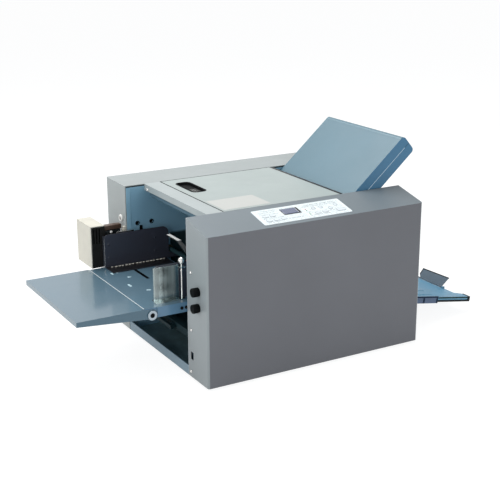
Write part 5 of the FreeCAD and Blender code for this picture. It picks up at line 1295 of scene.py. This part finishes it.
@dataclass
class SideGuides(Assembly):
    """Painted highlights, springs and rivets of the rear side guide, and the arm of its block.

    Attributes:
        springs: how many springs stand along the rear guide's foot, their near-white colour partly
            a painted highlight.
        spring_step: their spacing.
        foot_top: how high the foot's upper face is.
        wall: how thick the guide's plate is.
        rivet_x: the rivets' places along X.
        rivet_z: their heights.
        rivet_profile: radius and height pairs of a rivet.
    """

    title: str = "side guides"
    springs: int = 16
    spring_step: float = 0.009
    foot_top: float = 0.1778
    wall: float = 0.002
    rivet_x: Pair = (-0.33, -0.21)
    rivet_z: Pair = (0.2, 0.232)
    rivet_profile: Sequence[Pair] = ((0.0, 0.0008), (0.0018, 0.0007), (0.0028, 0.0))

    def build(self) -> None:
        """Make the rear guide's springs, painted highlights and rivets, and the arm of its block.
        """
        low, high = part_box("rear_guide_plate")
        start, face, foot = low.x, high.y - self.wall, self.foot_top
        # The springs are real; their near-white colour is partly a painted highlight.
        springs = []
        for index in range(self.springs):
            x = start + 0.012 + self.spring_step * index
            length = 0.0062 if index % 3 else 0.0038
            springs.append(self.block((x, x + length), (face - 0.0092, face - 0.0072),
                                      (foot, foot + 0.0016), 0.0002))
        self.keep("rear_guide_springs", springs, SPRING_HIGHLIGHT_PAINT, "rear_guide", "bright_steel")
        # Painted highlights: a bright strip for the lit top edge of the bracket behind the plate,
        # and a bright line for the lit near edge of the plate.
        strip = self.block((start + 0.035, start + 0.078), (face + 0.0046, face + 0.0059),
                           (0.2532, 0.2585), 0.0003)
        edge = self.block((start - 0.0004, start + 0.0001), (face + 0.0002, face + 0.0018),
                          (0.1815, 0.2455), 0.0002)
        self.keep("rear_guide_highlights", [strip, edge], BRIGHT_STEEL, "rear_guide", "bright_steel")
        self.block_arm()
        rivets = self.copies(self.lathe(self.rivet_profile, 20), Way.FRONT,
                             [(x, face, z) for x in self.rivet_x for z in self.rivet_z])
        self.keep("rear_guide_rivets", rivets, BLACK_PAINT, "rear_guide", "black_sheet")

    def block_arm(self) -> None:
        """The brown arm that carries the block, with a dark bar under it and its pale screw."""
        low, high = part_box("guide_block")
        start, front, top = high.x, low.y + 0.002, high.z
        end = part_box("rear_cover")[0].x - 0.0115
        arm = self.block((start, end), (front, front + 0.015), (top - 0.012, top - 0.0005),
                         0.0016, 3)
        self.keep("guide_block_arm", [arm], BROWN_PLASTIC, "rear_guide", "black_plastic")
        # A dark bar under the arm.
        dark_bar = self.block((start, end - 0.003), (front + 0.001, front + 0.013),
                           (top - 0.026, top - 0.0125), 0.0012, 2)
        step = self.block((start + 0.008, start + 0.026), (front - 0.001, front + 0.002),
                          (top - 0.022, top - 0.013), 0.0008, 2)
        self.keep("guide_block_dark_bar", [dark_bar, step], TRIM_PLASTIC, "rear_guide",
                  "black_plastic")
        head = self.copies(self.screw(0.0032), Way.FRONT,
                           [(start + 0.017, front - 0.001, top - 0.0165)])
        self.keep("guide_block_screw", head, WHITE_PLASTIC, "rear_guide", "cream_plastic")


@dataclass
class FoldPlates(Assembly):
    """Trim, band and screws of the inclined fold plate.

    Attributes:
        tilt: the plate's slope in degrees.
        nip: where the plate's own frame starts, in millimetres.
        seam: the pale seam on its sides, as a strip in its own frame.
        screw_along: the side screws' places along the plate.
        screw_up: how far they lie over and under its middle.
    """

    title: str = "fold plates"
    tilt: float = 41.0
    nip: Point = (-25.988, 0.0, 170.8)
    seam: Strip = ((0.219, 0.427), (0.0005, 0.0005), (-0.0007, 0.0007), 0.0002)
    screw_along: Pair = (0.3, 0.415)
    screw_up: float = 0.0125

    def build(self) -> None:
        """Make the seam trim, the band under the plate's end and the side screws."""
        place = Matrix.Translation(mm(*self.nip)) @ turned(-self.tilt, "Y")
        low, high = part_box("plate_top_shell")
        cross = self.block((0.4422, 0.4434), (low.y + 0.003, high.y - 0.003),
                           (-0.0011, 0.0011), 0.0003)
        self.keep("plate_seam_trim", [*self.both_sides("plate_top_shell", [self.seam]), cross],
                  SEAM_PAINT, "upper_plate", "sheet_aluminium", place)
        band = self.block((0.4312, 0.4352), (low.y + 0.001, high.y - 0.001),
                          (0.0236, 0.02425), 0.0002)
        self.keep("plate_edge_band", [band], HEM_PAINT, "upper_plate", "panel_blue", place)
        screws = self.copies(self.screw(0.003), Way.BACK,
                             [(u, high.y, v) for u in self.screw_along
                              for v in (self.screw_up, -self.screw_up)])
        self.keep("plate_side_screws", screws, PLATE_PAINT, "upper_plate", "panel_blue", place)


@dataclass
class ExitTray(Assembly):
    """Ribs, bars and edges of the exit tray, its extension and the stop wing.

    Attributes:
        slope: the tray's slope in degrees.
        axis: its hinge, in millimetres.
        ribs: how many ribs run along it.
        wing_space: where along Y the extension has no ribs.
        side_span: how low and how high its side walls reach.
        bar_places: the middles of its upright bars, along the tray.
        panel_places: the middles of the panels between them.
        upper_edge: the dark strip on its walls' upper edges.
        horns: the caps of the extension's horns and the strips along its lower edges.
        rail: the dark green band along the extension's upper edges.
        wing_axis: the stop wing's hinge, in millimetres.
        wing_tilt: how far the wing stands up, in degrees.
        wing_edge: the wing's height at its near and far ends.
        wing_sides: where those ends are along Y.
        wing_band: the width and thickness of its dark moulding.
    """

    title: str = "exit tray"
    slope: float = 9.4
    axis: Point = (272.012, 0.0, 71.0)
    ribs: int = 9
    wing_space: Pair = (-0.09, 0.035)
    side_span: Pair = (-0.0055, 0.0112)
    bar_places: Sequence[float] = (0.024, 0.067, 0.109, 0.1515)
    panel_places: Sequence[float] = (0.0115, 0.0455, 0.088, 0.1303)
    upper_edge: Strip = ((0.0192, 0.154), (0.0013, 0.0016), (0.0088, 0.0123), 0.0004)
    horns: Sequence[Strip] = (
        ((0.157, 0.2621), (0.0002, 0.0035), (-0.0034, 0.0018), 0.0001),
        ((0.2545, 0.2621), (0.0007, 0.0005), (-0.0012, 0.0098), 0.0003),
        ((0.2565, 0.2621), (0.0007, 0.0245), (0.0088, 0.0098), 0.0003),
        ((0.2609, 0.2622), (0.0007, 0.0245), (-0.0012, 0.0097), 0.0003))
    rail: Strip = ((0.157, 0.2546), (0.0002, 0.0003), (0.0054, 0.0094), 0.0001)
    wing_axis: Point = (504.837, 0.0, 44.236)
    wing_tilt: float = 50.0
    wing_edge: Pair = (0.030, 0.027)
    wing_sides: Pair = (-0.083, 0.019)
    wing_band: Pair = (0.0024, 0.0026)

    def build(self) -> None:
        """Make the ribs, bars and edges of all three."""
        place = Matrix.Translation(mm(*self.axis)) @ turned(self.slope, "Y")
        bars = [*self.bars(self.bar_places, 0.0023, 0.0012),
                *self.both_sides("exit_tray", [self.upper_edge])]
        horns = self.both_sides("tray_extension", self.horns)
        rails = self.both_sides("tray_extension", [self.rail])
        for name, meshes, finish, body, slot in (
                ("tray_ribs", self.rib_row(0.02, (0.006, 0.15), (0.0112, 0.0127), 0.0005, 2),
                 RIB_PLASTIC, "tray", "tray_blue"),
                ("tray_side_panels", self.bars(self.panel_places, 0.0185, 0.0005),
                 SIDE_PLASTIC, "tray", "tray_blue"),
                ("tray_bars", bars, NAVY_PLASTIC, "tray", "stop_blue"),
                ("extension_ribs", self.rib_row(0.03, (0.16, 0.234), (0.009, 0.0094), 0.00015, 1,
                                                self.wing_space),
                 RIB_PLASTIC, "tray_end", "tray_blue"),
                ("extension_trim", horns, TRIM_PLASTIC, "tray_end", "stop_blue"),
                ("extension_rails", rails, RAIL_PLASTIC, "tray_end", "stop_blue")):
            self.keep(name, meshes, finish, body, slot, place)
        self.wing_trim()

    def rib_row(self, margin: float, x: Pair, z: Pair, radius: float, steps: int,
                bare: Pair = (0.0, 0.0)) -> list[Mesh]:
        """Ribs along the tray, spread over its width.

        Args:
            margin: how far the outer ones lie in from its sides.
            x: their two ends.
            z: their foot and top.
            radius: their rounding.
            steps: the rounding's segments.
            bare: the part of the width that has none.

        Returns:
            The meshes in the tray's own frame.
        """
        low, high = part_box("exit_tray")
        places = [low.y + margin + (high.y - low.y - 2 * margin) * index / (self.ribs - 1)
                  for index in range(self.ribs)]
        return [self.block(x, (y - 0.001, y + 0.001), z, radius, steps)
                for y in places if not bare[0] < y < bare[1]]

    def bars(self, places: Sequence[float], half: float, rise: float) -> list[Mesh]:
        """Bars or panels on both side walls, by middles, half their length and rise."""
        return self.both_sides("exit_tray", [
            ((max(at - half, 0.002), at + half), (rise, 0.0), self.side_span, rise * 0.3)
            for at in places])

    def wing_trim(self) -> None:
        """The dark moulding along the outer edges of the stop wing."""
        (tall, short), (near, far), (band, depth) = self.wing_edge, self.wing_sides, self.wing_band
        top = self.outline([(tall - band, near), (tall, near), (short, far), (short - band, far)],
                           depth)
        side = self.outline([(0.009, far - band), (short, far - band), (short, far),
                             (0.009, far)], depth)
        self.keep("wing_trim", [top, side], TRIM_PLASTIC, "tray_wing", "stop_blue",
                  Matrix.Translation(mm(*self.wing_axis)) @ turned(-self.wing_tilt, "Y")
                  @ Matrix.Translation((0.0, 0.0, -depth / 2)))


@dataclass
class Studio:
    """The floor, the lights and the camera at the photograph's angle.

    Attributes:
        eye: where the camera stands, in millimetres.
        yaw: how far it looks to the right of +Y, in degrees.
        pitch: how far it looks down, in degrees.
        roll: how far it leans, in degrees.
        lens: its focal length in millimetres on a 36 mm sensor.
        aim: what the lamps point at.
        lamps: name, place, size and power of each area lamp.
        fill: the strength of the soft light from all round.
        glow: the strength of the floor's white, and how much of it shows.
    """

    eye: Point = (-1258.9, -2135.7, 978.2)
    yaw: float = 30.01
    pitch: float = 17.35
    roll: float = -0.13
    lens: float = 78.106
    aim: Point = (0.0, 0.0, 0.2)
    lamps: Sequence[tuple[str, Point, float, float]] = (
        ("top_soft", (-0.35, 0.9, 2.3), 2.2, 60.0),
        ("left_soft", (-2.4, -0.5, 1.1), 1.5, 26.0),
        ("front_soft", (0.6, -2.6, 1.3), 1.8, 18.0))
    fill: float = 0.42
    glow: Pair = (1.2, 0.75)

    def build(self) -> None:
        """Make the floor, the lamps, the world and the camera."""
        self.floor()
        self.sky()
        for name, place, size, power in self.lamps:
            data = bpy.data.lights.new(name, "AREA")
            data.shape = "DISK"
            data.size = size
            data.energy = power
            self.stand(name, data, place,
                       (Vector(self.aim) - Vector(place)).to_track_quat("-Z", "Y"))
        self.camera()
        bpy.context.scene.view_settings.view_transform = "Standard"

    @staticmethod
    def stand(name: str, data: bpy.types.ID, place: Sequence[float],
              turn: Sequence[float]) -> bpy.types.Object:
        """Put a lamp or a camera into the scene.

        Args:
            name: its name.
            data: the lamp or camera.
            place: where it stands.
            turn: its rotation, as a quaternion.

        Returns:
            The object.
        """
        thing = bpy.data.objects.new(name, data)
        thing.location = place
        thing.rotation_mode = "QUATERNION"
        thing.rotation_quaternion = turn
        bpy.context.scene.collection.objects.link(thing)
        return thing

    @staticmethod
    def plain_sight(build: Recipe) -> Wire:
        """1 where the camera, a reflection or clear glass looks, and 0 for all other light."""
        path = build.node("ShaderNodeLightPath")
        return (build.out(path, "Is Camera Ray") + build.out(path, "Is Glossy Ray")
                + build.out(path, "Is Transmission Ray")).ramp(0.0, 1.0)

    def floor(self) -> None:
        """A plain pale floor that keeps a soft shadow."""
        strength, share = self.glow
        mesh = bmesh.new()
        bmesh.ops.create_grid(mesh, x_segments=1, y_segments=1, size=30.0)
        data = bpy.data.meshes.new("floor")
        mesh.to_mesh(data)
        mesh.free()
        white = bpy.data.materials.new("floor_white")
        build = Recipe(white)
        matt = build.node("ShaderNodeBsdfDiffuse", None, {"Color": (0.82, 0.82, 0.82)})
        glow = build.node("ShaderNodeEmission", None,
                          {"Color": (1.0, 1.0, 1.0), "Strength": strength})
        build.close(build.node("ShaderNodeMixShader", None, {
            0: self.plain_sight(build) * share, 1: matt.outputs[0], 2: glow.outputs[0]}))
        data.materials.append(white)
        ground = bpy.data.objects.new("floor", data)
        bpy.context.scene.collection.objects.link(ground)

    def sky(self) -> None:
        """A plain world: white to the camera and in reflections, and a soft fill elsewhere."""
        world = bpy.data.worlds.new("studio")
        bpy.context.scene.world = world
        build = Recipe(world, "ShaderNodeOutputWorld")
        fill, white = (build.node("ShaderNodeBackground", None,
                                  {"Color": colour, "Strength": strength}).outputs[0]
                       for colour, strength in (((0.92, 0.96, 1.0), self.fill),
                                                ((1.0, 1.0, 1.0), 1.0)))
        build.close(build.node("ShaderNodeMixShader", None,
                               {0: self.plain_sight(build), 1: fill, 2: white}))

    def camera(self) -> None:
        """The camera at the photograph's viewing angle."""
        data = bpy.data.cameras.new("camera")
        data.sensor_width = 36.0
        data.lens = self.lens
        data.clip_start, data.clip_end = 0.05, 50.0
        turn = turned(-self.yaw, "Z") @ turned(90 - self.pitch, "X") @ turned(self.roll, "Z")
        bpy.context.scene.camera = self.stand("camera", data, mm(*self.eye),
                                              turn.to_quaternion())


def dress(finishes: dict[str, Finish]) -> None:
    """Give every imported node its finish.

    Args:
        finishes: the finish of each node, by the node's name.
    """
    for node, finish in finishes.items():
        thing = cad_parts[node]
        if not thing.material_slots:
            thing.data.materials.append(None)
        for slot in thing.material_slots:
            slot.material = finish.material()
        log.info("node %s: %s", node, finish.name)


def main() -> None:
    """Build the studio and every assembly."""
    logging.basicConfig(level=logging.INFO, format="%(message)s")
    Studio().build()
    dress(CAD_FINISHES)
    for assembly in (Casing(), ControlPanel(), TopCover(), Knobs(), FeedTable(), SideGuides(),
                     FoldPlates(), ExitTray()):
        assembly.build()
        log.info("%s: %d pieces", assembly.title, len(assembly.made))


if __name__ == "__main__":
    main()
